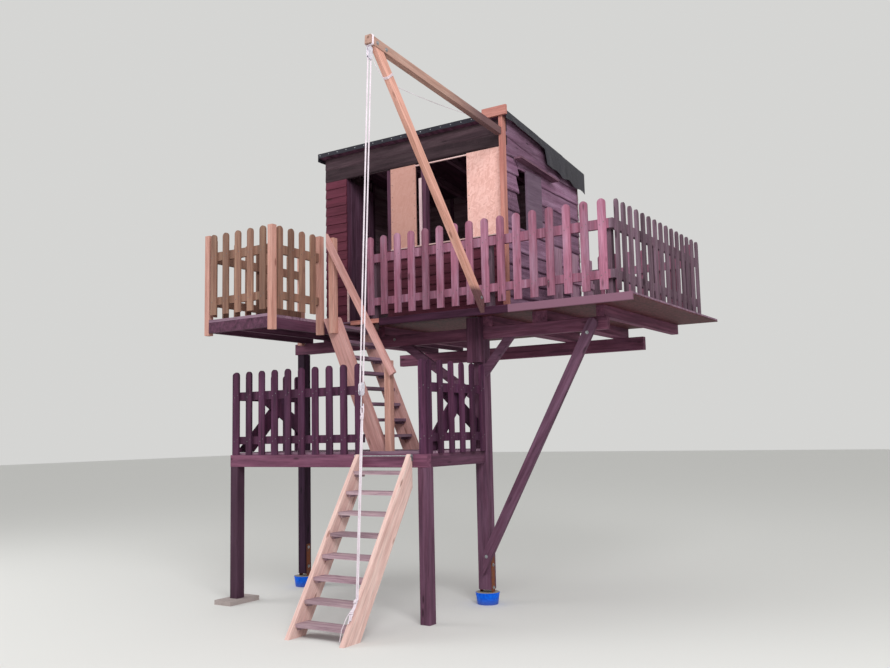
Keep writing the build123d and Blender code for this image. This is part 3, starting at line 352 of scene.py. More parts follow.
# Tones: dark band, middle, light band, knot, greyed patch
STAINED = ("#341e30", "#4d2841", "#623651", "#20111d", "#6e486a")
STAINED_DARK = ("#3f2734", "#59364a", "#6f465c", "#27161f", "#7d5d74")
# Lighter copy of the dark stain for the beams and joists under the deck: painted light, lifting them out of
# the shade under the deck
STAINED_UNDER_PAINTED_LIGHT = ("#523244", "#75465c", "#925c74", "#331d27", "#a47793")
STAINED_BEAM = ("#5f394e", "#774860", "#8e5b72", "#341d29", "#986a84")
STAINED_RIM = ("#2f1426", "#402034", "#522d43", "#1e0d17", "#5a3b54")
STAINED_POST = ("#4d3243", "#674459", "#7c5a71", "#2e1c26", "#886a84")
STAINED_RED = ("#7c4b5d", "#9d647a", "#b67b92", "#482833", "#b99fb7")
LAPPED = ("#4f2230", "#602b3b", "#6b3244", "#3a181f", "#703b4c")
WANEY = ("#67465d", "#8e6782", "#b48ba9", "#3f2436", "#c1a0bb")
STAINED_GREY = ("#54404b", "#6c5461", "#866a7a", "#34262d", "#967f90")
# Darkened copy of the post stain for the rear left post: painted shade, for the shade it stands in under the
# deck
STAINED_PAINTED_SHADE = ("#271524", "#351e32", "#422840", "#180c16", "#4d314b")
RAFTER = ("#6a4a58", "#8a6678", "#a07e8f", "#44303d", "#a890a8")
WANEY_PLAIN = ("#5f454e", "#836670", "#a78a94", "#3b262e", "#b3a1a8")
# Darkened copy of the waney board tones for the header: painted shade, for the shade it sits in under the
# roof's edge
WANEY_PAINTED_SHADE = ("#2d2026", "#3d2c33", "#543f47", "#1e1218", "#6c5a5f")
CANOPY = ("#5e4050", "#825f71", "#a37e90", "#39232f", "#b08a9c")
STAIR_LARCH = ("#d4aaa2", "#e8c4bc", "#f2d8cf", "#8e6157", "#dfc8c4")
LADDER_LARCH = ("#b9857f", "#cf9c97", "#dfb0ac", "#7a4b42", "#cdaaa7")
POST_LARCH = ("#b38073", "#c99689", "#d8aa9c", "#76483d", "#c7a49c")
CORNER_LARCH = ("#a76c64", "#c48278", "#dd9d8d", "#6b3d35", "#c49b91")
LANDING_LARCH = ("#7c5a4e", "#926d5e", "#a4836e", "#50322a", "#928071")
ARM_LARCH = ("#a07b6e", "#b89285", "#c8a698", "#6a493d", "#a89a90")
BRACE_LARCH = ("#c28b79", "#dfa797", "#f3bcac", "#815346", "#ccad9f")
TREAD = ("#8c707d", "#af929d", "#cdb5b9", "#5e4756", "#d0bec0")
WEATHERED = ("#705367", "#8c6c80", "#a48497", "#4b3546", "#b398a7")
SLAT = ("#846177", "#a57e94", "#c19caf", "#583948", "#c8aaba")
SHUTTER = ("#695466", "#766073", "#826d7e", "#4c3b4a", "#8a7685")
LATH = ("#d0a6a4", "#e4bfbc", "#f4d8d4", "#9a6f6a", "#ecd0d0")
PRIMED = ("#c8aab1", "#d8bac0", "#e4cacb", "#a0898d", "#d8c2c2")

# Spacing in mm and the middle of the first one, for pickets, slats, steps, laps and boards
LOWER_FRONT_PITCH, LOWER_FRONT_FIRST = 182, -2362
LOWER_SIDE_PITCH, LOWER_SIDE_FIRST = 194, -1082
UPPER_FRONT_PITCH, UPPER_FRONT_FIRST = 176, -1075
UPPER_SIDE_PITCH, UPPER_SIDE_FIRST = 170, -371
UPPER_BACK_FIRST = 500
LANDING_FRONT_PITCH, LANDING_FRONT_FIRST = 173, -2274
LANDING_SIDE_PITCH, LANDING_SIDE_FIRST = 165, -1442
STAIR_RISE, LADDER_RISE = 178, 162
LAP_EXPOSURE, LAP_FIRST = 107, 2975
FLOOR_PITCH = 118
SLAT_PITCH, SLAT_FIRST = 190, 330
LADDER_TREAD_THICK = 30
LOWER_FLOOR_SPAN = (1521, 1543)
UPPER_BOARDS_FRONT = -15


def between(axis, first, pitch):
    """Counts boards along an axis from half a pitch before the first one's middle."""
    return (axis, first - pitch / 2, pitch)


# Softwood under dark wood stain: beams, joists and posts, the red-brown showing where it has thinned; under
# the deck the beams and joists are given lighter tones, which are painted light
stain_y = sawn_timber("stained_softwood_along_y", "Y", STAINED_DARK, weathering=0.2)
stain_z = sawn_timber("stained_softwood_upright", "Z", STAINED_DARK, weathering=0.25)
# The left front post is darkened left of X -1200 mm: painted shade
stain_front_posts = sawn_timber("stained_lower_front_posts", "Z", STAINED_POST, weathering=0.25,
                                changed=("X", -1200, -1201, "#35222f", 0.7))
# The rear left post is darkened: painted shade
stain_painted_shade = sawn_timber("stained_rear_left_post_painted_shade", "Z", STAINED_PAINTED_SHADE, weathering=0.25)
rafter_timber = sawn_timber("sawn_rafters", "Y", RAFTER, weathering=0.2)
stain_front_beam = sawn_timber("stained_front_beam", "X", STAINED_BEAM, weathering=0.25)
# Beams and joists under the deck take the lighter tones, which are painted light
stain_under_painted_light_x = sawn_timber("stained_beams_under_deck_painted_light", "X", STAINED_UNDER_PAINTED_LIGHT, weathering=0.2)
stain_under_painted_light_y = sawn_timber("stained_joists_under_deck_painted_light", "Y", STAINED_UNDER_PAINTED_LIGHT, weathering=0.2)
stain_rim = sawn_timber("stained_deck_rim", "X", STAINED_RIM, weathering=0.2,
                        changed=("X", 596, 600, "#8a6476", 0.8))
stain_post = sawn_timber("stained_softwood_post", "Z", STAINED_POST, weathering=0.3)
stain_long = sawn_timber("stained_raking_brace", slant_x(-2.2, -1.3), STAINED_POST, weathering=0.4)
stain_knee = sawn_timber("stained_knee_brace", "X", STAINED_POST, weathering=0.2)
# Planed pickets under the same stain, each board a little lighter or darker than the next
stain_front = sawn_timber("stained_front_pickets", "Z", STAINED,
                          between("X", LOWER_FRONT_FIRST, LOWER_FRONT_PITCH), spread=0.25,
                          changed=("Y", -1126, -1124, "#3a2430", 0.45))
stain_side = sawn_timber("stained_side_pickets", "Z", STAINED,
                         between("Y", LOWER_SIDE_FIRST, LOWER_SIDE_PITCH), spread=0.25)
red_front = sawn_timber("red_stained_front_pickets", "Z", STAINED_RED,
                        between("X", UPPER_FRONT_FIRST, UPPER_FRONT_PITCH), weathering=0.5, spread=0.28,
                        changed=("Y", -446, -444, "#74465a", 0.45))
red_back = sawn_timber("red_stained_back_pickets", "Z", STAINED_RED,
                       between("X", UPPER_BACK_FIRST, UPPER_FRONT_PITCH), weathering=0.5, spread=0.28)
red_side = sawn_timber("greyed_side_pickets", "Z", STAINED_GREY,
                       between("Y", UPPER_SIDE_FIRST, UPPER_SIDE_PITCH), weathering=0.5, spread=0.28)
# Raw sawn larch, pinkish where it is new and browner where rain reaches it
larch_x = sawn_timber("raw_larch_along_x", "X", CORNER_LARCH)
larch_z = sawn_timber("raw_larch_upright", "Z", POST_LARCH)
larch_corner = sawn_timber("raw_larch_corner_post", "Z", CORNER_LARCH)
larch_front = sawn_timber("raw_larch_front_pickets", "Z", LANDING_LARCH,
                          between("X", LANDING_FRONT_FIRST, LANDING_FRONT_PITCH), spread=0.25)
larch_side = sawn_timber("raw_larch_side_pickets", "Z", LANDING_LARCH,
                         between("Y", LANDING_SIDE_FIRST, LANDING_SIDE_PITCH), spread=0.25)
larch_stair = sawn_timber("raw_larch_stair_stringer", slant_y(1.54, 1.0), STAIR_LARCH, weathering=0.25)
larch_ladder = sawn_timber("raw_larch_ladder_stringer", slant_x(2.3, -1.0), LADDER_LARCH, weathering=0.25)
larch_rail = sawn_timber("raw_larch_handrail", slant_x(1.75, -1.0), LADDER_LARCH, weathering=0.25)
# The arm darkens towards its root by the hut: painted shade
larch_arm = sawn_timber("raw_larch_arm", slant_y(0.08, -1.0), ARM_LARCH, weathering=0.3,
                        changed=("Y", -1150, -450, "#553c46", 0.8))
# The brace is given a darker tone below 3110 mm, towards its foot
larch_brace = sawn_timber("raw_larch_arm_brace", slant_y(-1.14, 1.0), BRACE_LARCH, weathering=0.2,
                          changed=("Z", 3110, 3060, "#452a38", 0.85))
larch_lath = sawn_timber("planed_larch_lath", "X", LATH, knots=False)
primed_lath = sawn_timber("primed_upright_lath", "Z", PRIMED, knots=False, weathering=0.2)
# Boards that have greyed in the rain
grey_tread = sawn_timber("weathered_tread_boards", "X", TREAD, ("Z", 0, STAIR_RISE), weathering=0.4)
grey_ladder_tread = sawn_timber("weathered_ladder_treads", "Y", WEATHERED,
                                ("Z", LOWER_FLOOR_SPAN[1] - LADDER_TREAD_THICK, LADDER_RISE), weathering=0.4)
grey_floor = sawn_timber("weathered_floor_boards", "X", WEATHERED, ("Y", UPPER_BOARDS_FRONT, FLOOR_PITCH),
                         weathering=0.5)
grey_upright = sawn_timber("weathered_upright_slats", "Z", SLAT, ("Y", SLAT_FIRST, SLAT_PITCH),
                           weathering=0.5)
# Boards of the hut: lapped and planed on the front, waney-edged and rough on the sides
lapped = sawn_timber("stained_lapped_boards", "X", LAPPED, ("Z", LAP_FIRST, LAP_EXPOSURE), spread=0.2)
waney_y = sawn_timber("waney_boards_along_y", "Y", WANEY, spread=0.5, weathering=0.6)
waney_left = sawn_timber("waney_left_boards_along_y", "Y", WANEY_PLAIN, spread=0.42, weathering=0.6)
waney_x = sawn_timber("waney_boards_along_x", "X", WANEY_PLAIN, spread=0.42, weathering=0.6)
# The header boards take the darkened waney tones, which are painted shade
waney_painted_shade = sawn_timber("waney_header_boards_painted_shade", "X", WANEY_PAINTED_SHADE, spread=0.3)
canopy_board = sawn_timber("greyed_canopy_board", "Y", CANOPY, weathering=0.3)
door_boards = sawn_timber("door_boards", "Z", STAINED_POST, spread=0.25)
shutter_ply = sawn_timber("lilac_stained_shutter_ply", "Y", SHUTTER, knots=False, weathering=0.15)
# The left sheet of the front is darkened: painted shade
osb = strand_board("oriented_strand_board", ("#d8a69c", "#e4b3aa", "#edc0b8"), (-455, "#ae7e72"))
# Dark copy of the strand board for the sheets under the deck: painted shade, the sheets' own tan darkened to
# the shade there
osb_under_painted_shade = strand_board("oriented_strand_board_under_deck_painted_shade", ("#3a1a1e", "#4f242a", "#663139"))
felt = roofing_felt("slate_granule_roofing_felt")
# Rolled flat steel, rusted after the zinc has gone, and screws and bolts with the zinc still on
rusty = steel("rusted_flat_steel", ("#4b3a36", "#6a5550", "#7a4630"), rust=1.0, roughness=0.75)
zinc = steel("zinc_plated_steel", ("#8f9296", "#b4b7ba", "#7c6a5e"), rust=0.0, roughness=0.42)
bright_zinc = steel("bright_galvanised_blocks", ("#d8d4e2", "#f6f2fa", "#b8b0c0"), rust=0.25, roughness=0.38)
dull_zinc = steel("dulled_screw_heads", ("#5e5a5e", "#7c787c", "#5c4438"), rust=0.3, roughness=0.55)
footing = concrete("cast_footing_concrete", ("#7b756c", "#98928a", "#b0aaa2"), pore_mm=3.0)
paving = concrete("pressed_concrete_paver", ("#8f8480", "#a89c9a", "#bcb0ae"), pore_mm=2.0)
bucket_blue = moulded_plastic("blue_polypropylene", ("#004ecc", "#0070f4"), "#5c5248", dirt_top_mm=70.0)
rope_white = laid_polypropylene("white_laid_polypropylene", ("#dccbd8", "#f6eef4", "#b8a6b0"))

FINISHES = {
    stain_front_beam: ("lower_front_beam",),
    stain_under_painted_light_x: ("upper_front_beams", "upper_rear_beam"),
    stain_under_painted_light_y: ("upper_joists",),
    stain_rim: ("deck_rim_board",),
    stain_y: ("lower_rim_beams", "lower_joists", "landing_frame", "hut_roof"),
    rafter_timber: ("hut_rafters",),
    stain_z: ("post_head_block", "hut_front_posts"),
    stain_front_posts: ("lower_front_posts",),
    stain_post: ("tall_post_right",),
    stain_painted_shade: ("tall_post_left",),
    stain_long: ("long_brace",),
    stain_knee: ("knee_braces",),
    stain_front: ("lower_front_railing",),
    stain_side: ("lower_right_railing", "lower_left_railing"),
    red_front: ("upper_front_railing",),
    red_back: ("upper_back_railing",),
    red_side: ("upper_right_railing", "railing_posts"),
    larch_x: ("roof_cap_board", "deck_edge_board"),
    larch_z: ("upper_stair_posts", "landing_posts"),
    larch_corner: ("corner_post",),
    larch_front: ("landing_front_railing",),
    larch_side: ("landing_right_railing", "landing_left_railing"),
    larch_stair: ("stair_stringers",),
    larch_ladder: ("upper_stair_stringers",),
    larch_rail: ("upper_stair_handrail",),
    larch_arm: ("gallows_arm",),
    larch_brace: ("gallows_brace",),
    grey_tread: ("stair_treads",),
    grey_ladder_tread: ("upper_stair_treads",),
    grey_upright: ("grey_low_rail",),
    canopy_board: ("hut_side_canopy",),
    shutter_ply: ("hut_side_shutter",),
    osb: ("hut_front_sheets",),
    rusty: ("post_anchors",),
    zinc: ("stair_hinge",),
    bright_zinc: ("pulley_blocks",),
    footing: ("footing_concrete",),
    paving: ("front_left_paver",),
}
for finish, names in FINISHES.items():
    for name in names:
        for slot in nodes[name].material_slots:
            slot.material = finish


class Shape:
    """Points and faces of one piece in mm, with a number for the board that each point belongs to."""

    def __init__(self):
        self.points = []
        self.faces = []
        self.boards = []

    def add_rings(self, rings, board=0.0, closed=False):
        """Joins rings of equally many points by faces, and caps the ends, or joins them in a closed form."""
        first = len(self.points)
        size = len(rings[0])
        for ring in rings:
            self.points += [tuple(point) for point in ring]
            self.boards += [board] * size
        spans = len(rings) if closed else len(rings) - 1
        for span in range(spans):
            near = first + span * size
            far = first + (span + 1) % len(rings) * size
            for corner in range(size):
                turned = (corner + 1) % size
                self.faces.append((near + corner, near + turned, far + turned, far + corner))
        if not closed:
            self.faces.append(tuple(range(first, first + size)))
            self.faces.append(tuple(range(first + size * (len(rings) - 1), first + size * len(rings))))

    def add_box(self, x, y, z, board=0.0):
        """A squared board between two values on each axis."""
        self.add_rings([[(x[0], y[0], level), (x[1], y[0], level), (x[1], y[1], level), (x[0], y[1], level)]
                        for level in z], board)

    def add_sheet(self, rows):
        """An open sheet through rows of equally many points."""
        first = len(self.points)
        size = len(rows[0])
        for row in rows:
            self.points += [tuple(point) for point in row]
            self.boards += [0.0] * size
        for row in range(len(rows) - 1):
            for column in range(size - 1):
                near = first + row * size + column
                self.faces.append((near, near + 1, near + size + 1, near + size))

    def mesh(self, name):
        """The mesh in metres, with its faces turned outwards."""
        made = bpy.data.meshes.new(name)
        made.from_pydata([Vector(point) * MM for point in self.points], [], self.faces)
        made.attributes.new("board", "FLOAT", "POINT").data.foreach_set("value", self.boards)
        shell = bmesh.new()
        shell.from_mesh(made)
        bmesh.ops.recalc_face_normals(shell, faces=shell.faces)
        shell.to_mesh(made)
        shell.free()
        return made


def plain_mesh(holder):
    """The mesh that an object's modifiers give."""
    bpy.context.scene.collection.objects.link(holder)
    bpy.context.view_layer.update()
    graph = bpy.context.evaluated_depsgraph_get()
    made = bpy.data.meshes.new_from_object(holder.evaluated_get(graph), preserve_all_data_layers=True,
                                           depsgraph=graph)
    bpy.data.objects.remove(holder)
    return made


EASE_MM = 1.5
EASE_ANGLE = math.radians(50)


def new_piece(name, mesh, material, body, stands_for=(), ease_mm=0.0, thick_mm=0.0, smooth=False):
    """A finished piece: given its thickness, eased edges and material, and set on its body."""
    if ease_mm or thick_mm:
        holder = bpy.data.objects.new("holder", mesh)
        if thick_mm:
            wall = holder.modifiers.new("thickness", "SOLIDIFY")
            wall.thickness = thick_mm * MM
            wall.offset = 1.0
        if ease_mm:
            edge = holder.modifiers.new("eased edges", "BEVEL")
            edge.width = ease_mm * MM
            edge.segments = 1
            edge.angle_limit = EASE_ANGLE
        mesh = plain_mesh(holder)
    mesh.name = name
    mesh.materials.clear()
    mesh.materials.append(material)
    if smooth:
        mesh.shade_smooth()
    piece = bpy.data.objects.new(name, mesh)
    bpy.context.scene.collection.objects.link(piece)
    if stands_for:
        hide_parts(*stands_for)
    if body:
        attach(piece, body)
    return piece


def new_tree(name, inputs):
    """An empty tree with named inputs for its sizes and one for its material."""
    tree = bpy.data.node_groups.new(name, "GeometryNodeTree")
    tree.interface.new_socket(name="Geometry", in_out="INPUT", socket_type="NodeSocketGeometry")
    for label, kind in inputs.items():
        tree.interface.new_socket(name=label, in_out="INPUT", socket_type="NodeSocket" + kind)
    tree.interface.new_socket(name="Material", in_out="INPUT", socket_type="NodeSocketMaterial")
    tree.interface.new_socket(name="Geometry", in_out="OUTPUT", socket_type="NodeSocketGeometry")
    return tree, add_node(tree, "NodeGroupInput").outputs


def end_tree(tree, given, geometry):
    """Ends a tree: everything real, in its material."""
    real = add_node(tree, "GeometryNodeRealizeInstances", links={0: geometry})
    coated = add_node(tree, "GeometryNodeSetMaterial",
                      links={"Geometry": real.outputs[0], "Material": given["Material"]})
    add_node(tree, "NodeGroupOutput", links={0: coated.outputs[0]})


def grow(tree, start, material, sizes):
    """Runs a tree on a mesh and gives the plain mesh back."""
    holder = bpy.data.objects.new("holder", start)
    grower = holder.modifiers.new("grow", "NODES")
    grower.node_group = tree
    wanted = dict(sizes, Material=material)
    for socket in tree.interface.items_tree:
        if socket.in_out == "INPUT" and socket.name in wanted:
            grower[socket.identifier] = wanted[socket.name]
    return plain_mesh(holder)


# Boards that repeat: copies of one board along a line, each a little out of place
row_tree, given = new_tree("row_of_boards",
                           {"Count": "Int", "Step": "Vector", "Wander": "Vector", "Seed": "Int"})
line = add_node(row_tree, "GeometryNodeMeshLine", mode="OFFSET",
                links={"Count": given["Count"], "Offset": given["Step"]})
least = add_node(row_tree, "ShaderNodeVectorMath", operation="SCALE", links={0: given["Wander"]},
                 values={"Scale": -1.0})
astray = add_node(row_tree, "FunctionNodeRandomValue", data_type="FLOAT_VECTOR",
                  links={0: least.outputs[0], 1: given["Wander"], "Seed": given["Seed"]})
moved = add_node(row_tree, "GeometryNodeSetPosition",
                 links={"Geometry": line.outputs[0], "Offset": astray.outputs[0]})
copies = add_node(row_tree, "GeometryNodeInstanceOnPoints",
                  links={"Points": moved.outputs[0], "Instance": given["Geometry"]})
end_tree(row_tree, given, copies.outputs[0])

# Screws, bolts and nails: a head on a washer at each point, turned to face out of the timber
WASHER_SIDES = 12
head_tree, given = new_tree("fastener_heads",
                            {"Sides": "Int", "Radius": "Float", "Crown": "Float", "Height": "Float",
                             "Washer": "Float", "Washer height": "Float"})
head = add_node(head_tree, "GeometryNodeMeshCone",
                links={"Vertices": given["Sides"], "Radius Top": given["Crown"],
                       "Radius Bottom": given["Radius"], "Depth": given["Height"]})
washer = add_node(head_tree, "GeometryNodeMeshCone", values={"Vertices": WASHER_SIDES},
                  links={"Radius Top": given["Washer"], "Radius Bottom": given["Washer"],
                         "Depth": given["Washer height"]})
lift = add_node(head_tree, "ShaderNodeCombineXYZ", links={"Z": given["Washer height"]})
raised = add_node(head_tree, "GeometryNodeTransform",
                  links={"Geometry": head.outputs[0], "Translation": lift.outputs[0]})
fastener = add_node(head_tree, "GeometryNodeJoinGeometry", links={0: washer.outputs[0]})
head_tree.links.new(raised.outputs[0], fastener.inputs[0])
facing = add_node(head_tree, "GeometryNodeInputNamedAttribute", data_type="FLOAT_VECTOR",
                  values={"Name": "facing"})
turned = add_node(head_tree, "FunctionNodeAlignRotationToVector", axis="Z",
                  links={"Vector": facing.outputs["Attribute"]})
heads = add_node(head_tree, "GeometryNodeInstanceOnPoints",
                 links={"Points": given["Geometry"], "Instance": fastener.outputs[0],
                        "Rotation": turned.outputs[0]})
end_tree(head_tree, given, heads.outputs[0])

# Rope: three strands wound round a path whose corners are rounded
STRANDS = 3
STRAND_SIDES = 6
CORNER_STEPS = 5
rope_tree, given = new_tree("laid_rope",
                            {"Strand": "Float", "Winding": "Float", "Lay": "Float", "Spacing": "Float",
                             "Corner": "Float"})
path = add_node(rope_tree, "GeometryNodeMeshToCurve", links={"Mesh": given["Geometry"]})
rounded = add_node(rope_tree, "GeometryNodeFilletCurve", mode="POLY",
                   values={"Count": CORNER_STEPS, "Limit Radius": True},
                   links={"Curve": path.outputs[0], "Radius": given["Corner"]})
even = add_node(rope_tree, "GeometryNodeResampleCurve", mode="LENGTH",
                links={"Curve": rounded.outputs[0], "Length": given["Spacing"]})
travelled = add_node(rope_tree, "GeometryNodeSplineParameter")
laps = add_node(rope_tree, "ShaderNodeMath", operation="DIVIDE",
                links={0: travelled.outputs["Length"], 1: given["Lay"]})
across = add_node(rope_tree, "GeometryNodeInputNormal")
ahead = add_node(rope_tree, "GeometryNodeInputTangent")
aside = add_node(rope_tree, "ShaderNodeVectorMath", operation="CROSS_PRODUCT",
                 links={0: ahead.outputs[0], 1: across.outputs[0]})
yarn = add_node(rope_tree, "GeometryNodeCurvePrimitiveCircle", mode="RADIUS",
                values={"Resolution": STRAND_SIDES}, links={"Radius": given["Strand"]})
laid_up = add_node(rope_tree, "GeometryNodeJoinGeometry")
for strand in range(STRANDS):
    angle = add_node(rope_tree, "ShaderNodeMath", operation="MULTIPLY_ADD", links={0: laps.outputs[0]},
                     values={1: FULL_TURN, 2: strand * FULL_TURN / STRANDS})
    parts = []
    for operation, direction in (("COSINE", across), ("SINE", aside)):
        share = add_node(rope_tree, "ShaderNodeMath", operation=operation, links={0: angle.outputs[0]})
        reach = add_node(rope_tree, "ShaderNodeMath", operation="MULTIPLY",
                         links={0: share.outputs[0], 1: given["Winding"]})
        parts.append(add_node(rope_tree, "ShaderNodeVectorMath", operation="SCALE",
                              links={0: direction.outputs[0], "Scale": reach.outputs[0]}))
    outward = add_node(rope_tree, "ShaderNodeVectorMath", operation="ADD",
                       links={0: parts[0].outputs[0], 1: parts[1].outputs[0]})
    wound = add_node(rope_tree, "GeometryNodeSetPosition",
                     links={"Geometry": even.outputs[0], "Offset": outward.outputs[0]})
    skin = add_node(rope_tree, "GeometryNodeCurveToMesh", values={"Fill Caps": True},
                    links={"Curve": wound.outputs[0], "Profile Curve": yarn.outputs[0]})
    rope_tree.links.new(skin.outputs[0], laid_up.inputs[0])
end_tree(rope_tree, given, laid_up.outputs[0])


def row_of_boards(name, x, y, z, count, step, material, stands_for=(), wander=(0, 0, 0), seed=0):
    """Like boards side by side, from the first one's spans and the step to the next."""
    first = Shape()
    first.add_box(x, y, z)
    holder = bpy.data.objects.new("holder", first.mesh(name))
    edge = holder.modifiers.new("eased edges", "BEVEL")
    edge.width = EASE_MM * MM
    edge.segments = 1
    laid = grow(row_tree, plain_mesh(holder), material,
                {"Count": count, "Step": [value * MM for value in step],
                 "Wander": [value * MM for value in wander], "Seed": seed})
    return new_piece(name, laid, material, "frame", stands_for)


def fasteners(name, spots, material, sides=8, radius=4.5, crown=2.5, height=2.0, washer=5.0,
              washer_height=0.4):
    """Heads at spots given as a point in mm and the way that it faces; the sizes are in mm."""
    start = bpy.data.meshes.new(name)
    start.from_pydata([Vector(point) * MM for point, _ in spots], [], [])
    directions = start.attributes.new("facing", "FLOAT_VECTOR", "POINT")
    directions.data.foreach_set("vector", [value for _, way in spots for value in way])
    grown = grow(head_tree, start, material,
                 {"Sides": sides, "Radius": radius * MM, "Crown": crown * MM, "Height": height * MM,
                  "Washer": washer * MM, "Washer height": washer_height * MM})
    return new_piece(name, grown, material, "frame")


# A strand's radius and its distance from the rope's middle, as a share of the rope's radius
STRAND_SHARE = 0.50
SPACING_SHARE, SPACING_MOST = 1.2, 7.0


def rope(name, paths, radius, body="frame", corner=14.0, stands_for=(), lay=40.0):
    """Laid rope along paths of points in mm."""
    points = [Vector(point) * MM for one in paths for point in one]
    edges = []
    first = 0
    for one in paths:
        edges += [(first + place, first + place + 1) for place in range(len(one) - 1)]
        first += len(one)
    start = bpy.data.meshes.new(name)
    start.from_pydata(points, edges, [])
    grown = grow(rope_tree, start, rope_white,
                 {"Strand": STRAND_SHARE * radius * MM, "Winding": STRAND_SHARE * radius * MM,
                  "Lay": lay * MM, "Spacing": min(SPACING_SHARE * radius, SPACING_MOST) * MM,
                  "Corner": corner * MM})
    return new_piece(name, grown, rope_white, body, stands_for, smooth=True)


# Floors of the lower deck, the upper deck and the landing
BOARD_GAP = 5
BOARD_WANDER = (0, 0, 0.8)
UPPER_FLOOR_SPAN, LANDING_FLOOR_SPAN, SHEET_SPAN = (2896, 2914), (2885, 2914), (2885, 2895)
DECK_LEFT, DECK_RIGHT, DECK_REAR = -2065, 1845, 2109
EDGE_LEFT, EDGE_FRONT, EDGE_PITCH = -1510, -485, 117.5
LANDING_LEFT, LANDING_FRONT, LANDING_PITCH = -2335, -1560, FLOOR_PITCH + 0.8
LOWER_BOARDS, LOWER_FRONT, LOWER_DEPTH = 9, -1125, 1060
LOWER_PITCH = LOWER_DEPTH / LOWER_BOARDS


def floor_boards(name, x, front, pitch, width, levels, count, stands_for, seed):
    """Floor boards along X, from the first one's front edge towards the back."""
    row_of_boards(name, x, (front, front + width), levels, count, (0, pitch, 0), grey_floor,
                  stands_for, BOARD_WANDER, seed)


floor_boards("lower_floor_boards", (-2420, 45), LOWER_FRONT, LOWER_PITCH, LOWER_PITCH - BOARD_GAP,
             LOWER_FLOOR_SPAN, LOWER_BOARDS, ("lower_floor",), 3)
row_of_boards("lower_floor_rear_board", (-2369, -65), (-60, -5), LOWER_FLOOR_SPAN, 1, (0, 1, 0), grey_floor)
floor_boards("upper_floor_boards", (DECK_LEFT, DECK_RIGHT), UPPER_BOARDS_FRONT, FLOOR_PITCH,
             FLOOR_PITCH - BOARD_GAP, UPPER_FLOOR_SPAN, 18, ("upper_floor",), 5)
floor_boards("upper_floor_edge_boards", (EDGE_LEFT, DECK_RIGHT), EDGE_FRONT, EDGE_PITCH,
             EDGE_PITCH - BOARD_GAP, UPPER_FLOOR_SPAN, 4, (), 7)
floor_boards("landing_floor_boards", (LANDING_LEFT, EDGE_LEFT), LANDING_FRONT, LANDING_PITCH,
             FLOOR_PITCH - BOARD_GAP, LANDING_FLOOR_SPAN, 13, ("landing_floor",), 11)
# The sheets under the deck take the darkened strand board, which is painted shade
under_sheets = Shape()
for left, front, rear in ((EDGE_LEFT, EDGE_FRONT, UPPER_BOARDS_FRONT - 1),
                          (DECK_LEFT, UPPER_BOARDS_FRONT, DECK_REAR)):
    for left_end, right_end in ((606, DECK_RIGHT), (-636, 604), (left, -638)):
        under_sheets.add_box((left_end, right_end), (front, rear), SHEET_SPAN)
new_piece("deck_under_sheets", under_sheets.mesh("deck_under_sheets"), osb_under_painted_shade, "frame")

# Lapped boards of the hut's front: each is thin at the top and thick at its lower edge
LAP_TOP = LAP_FIRST + 123
LAP_OUTER, LAP_INNER = (-15, -3), (-1, 8)
LAP_WANDER = 1.2
LAP_LEFT_SPAN, LAP_RIGHT_SPAN = (-2064, -1756), (-1181, 340)
STARTER_DEPTHS, STARTER_LEVELS = (-13, 8), (2915, 2990)


def lapped_boards(name, span, rows, stands_for=()):
    """Lapped boards one above another between two uprights."""
    first = Shape()
    first.add_rings([[(x, LAP_OUTER[0], LAP_FIRST), (x, LAP_OUTER[1], LAP_TOP),
                      (x, LAP_INNER[1], LAP_TOP), (x, LAP_INNER[0], LAP_FIRST)] for x in span])
    grown = grow(row_tree, first.mesh(name), lapped,
                 {"Count": rows, "Step": [0, 0, LAP_EXPOSURE * MM], "Wander": [0.0, 0.0, LAP_WANDER * MM],
                  "Seed": rows})
    return new_piece(name, grown, lapped, "frame", stands_for)


lapped_boards("lapped_boards_right", LAP_RIGHT_SPAN, 7, ("hut_front_cladding",))
lapped_boards("lapped_boards_left", LAP_LEFT_SPAN, 16)
starters = Shape()
starters.add_box(LAP_RIGHT_SPAN, STARTER_DEPTHS, STARTER_LEVELS)
starters.add_box(LAP_LEFT_SPAN, STARTER_DEPTHS, STARTER_LEVELS, 1.0)
new_piece("lapped_board_starters", starters.mesh("lapped_board_starters"), lapped, "frame",
          ease_mm=EASE_MM)

# Waney boards: sawn through the stem, so the lower edge keeps the stem's wavy line
ROOF_FALL = 0.118
ROOF_FRONT, ROOF_FRONT_UNDER = -15, 4955
WANE_STATION = 90
WANE = 15.0
LONG_WAVES, SHORT_WAVES, SHORT_SHARE = 0.0028, 0.011, 0.35
LEAST_BOARD = 20
WANE_SHARE, WANE_RISE, WANE_DEPTH = 0.6, 2, 6
SLANTED_END = 45
WALL_STEP = (0, 22, 37, 16)
ABOVE_ROOF = 9999
WALL_FOOT, WALL_FIRST, WALL_EXPOSURE, WALL_ROWS = 2915, 2918, 190, 10
HUT_LEFT, HUT_RIGHT, HUT_REAR = -2064, 364, 1764


def roof_under(y):
    """Height of the roof's underside at a depth."""
    return ROOF_FRONT_UNDER - ROOF_FALL * (y - ROOF_FRONT)


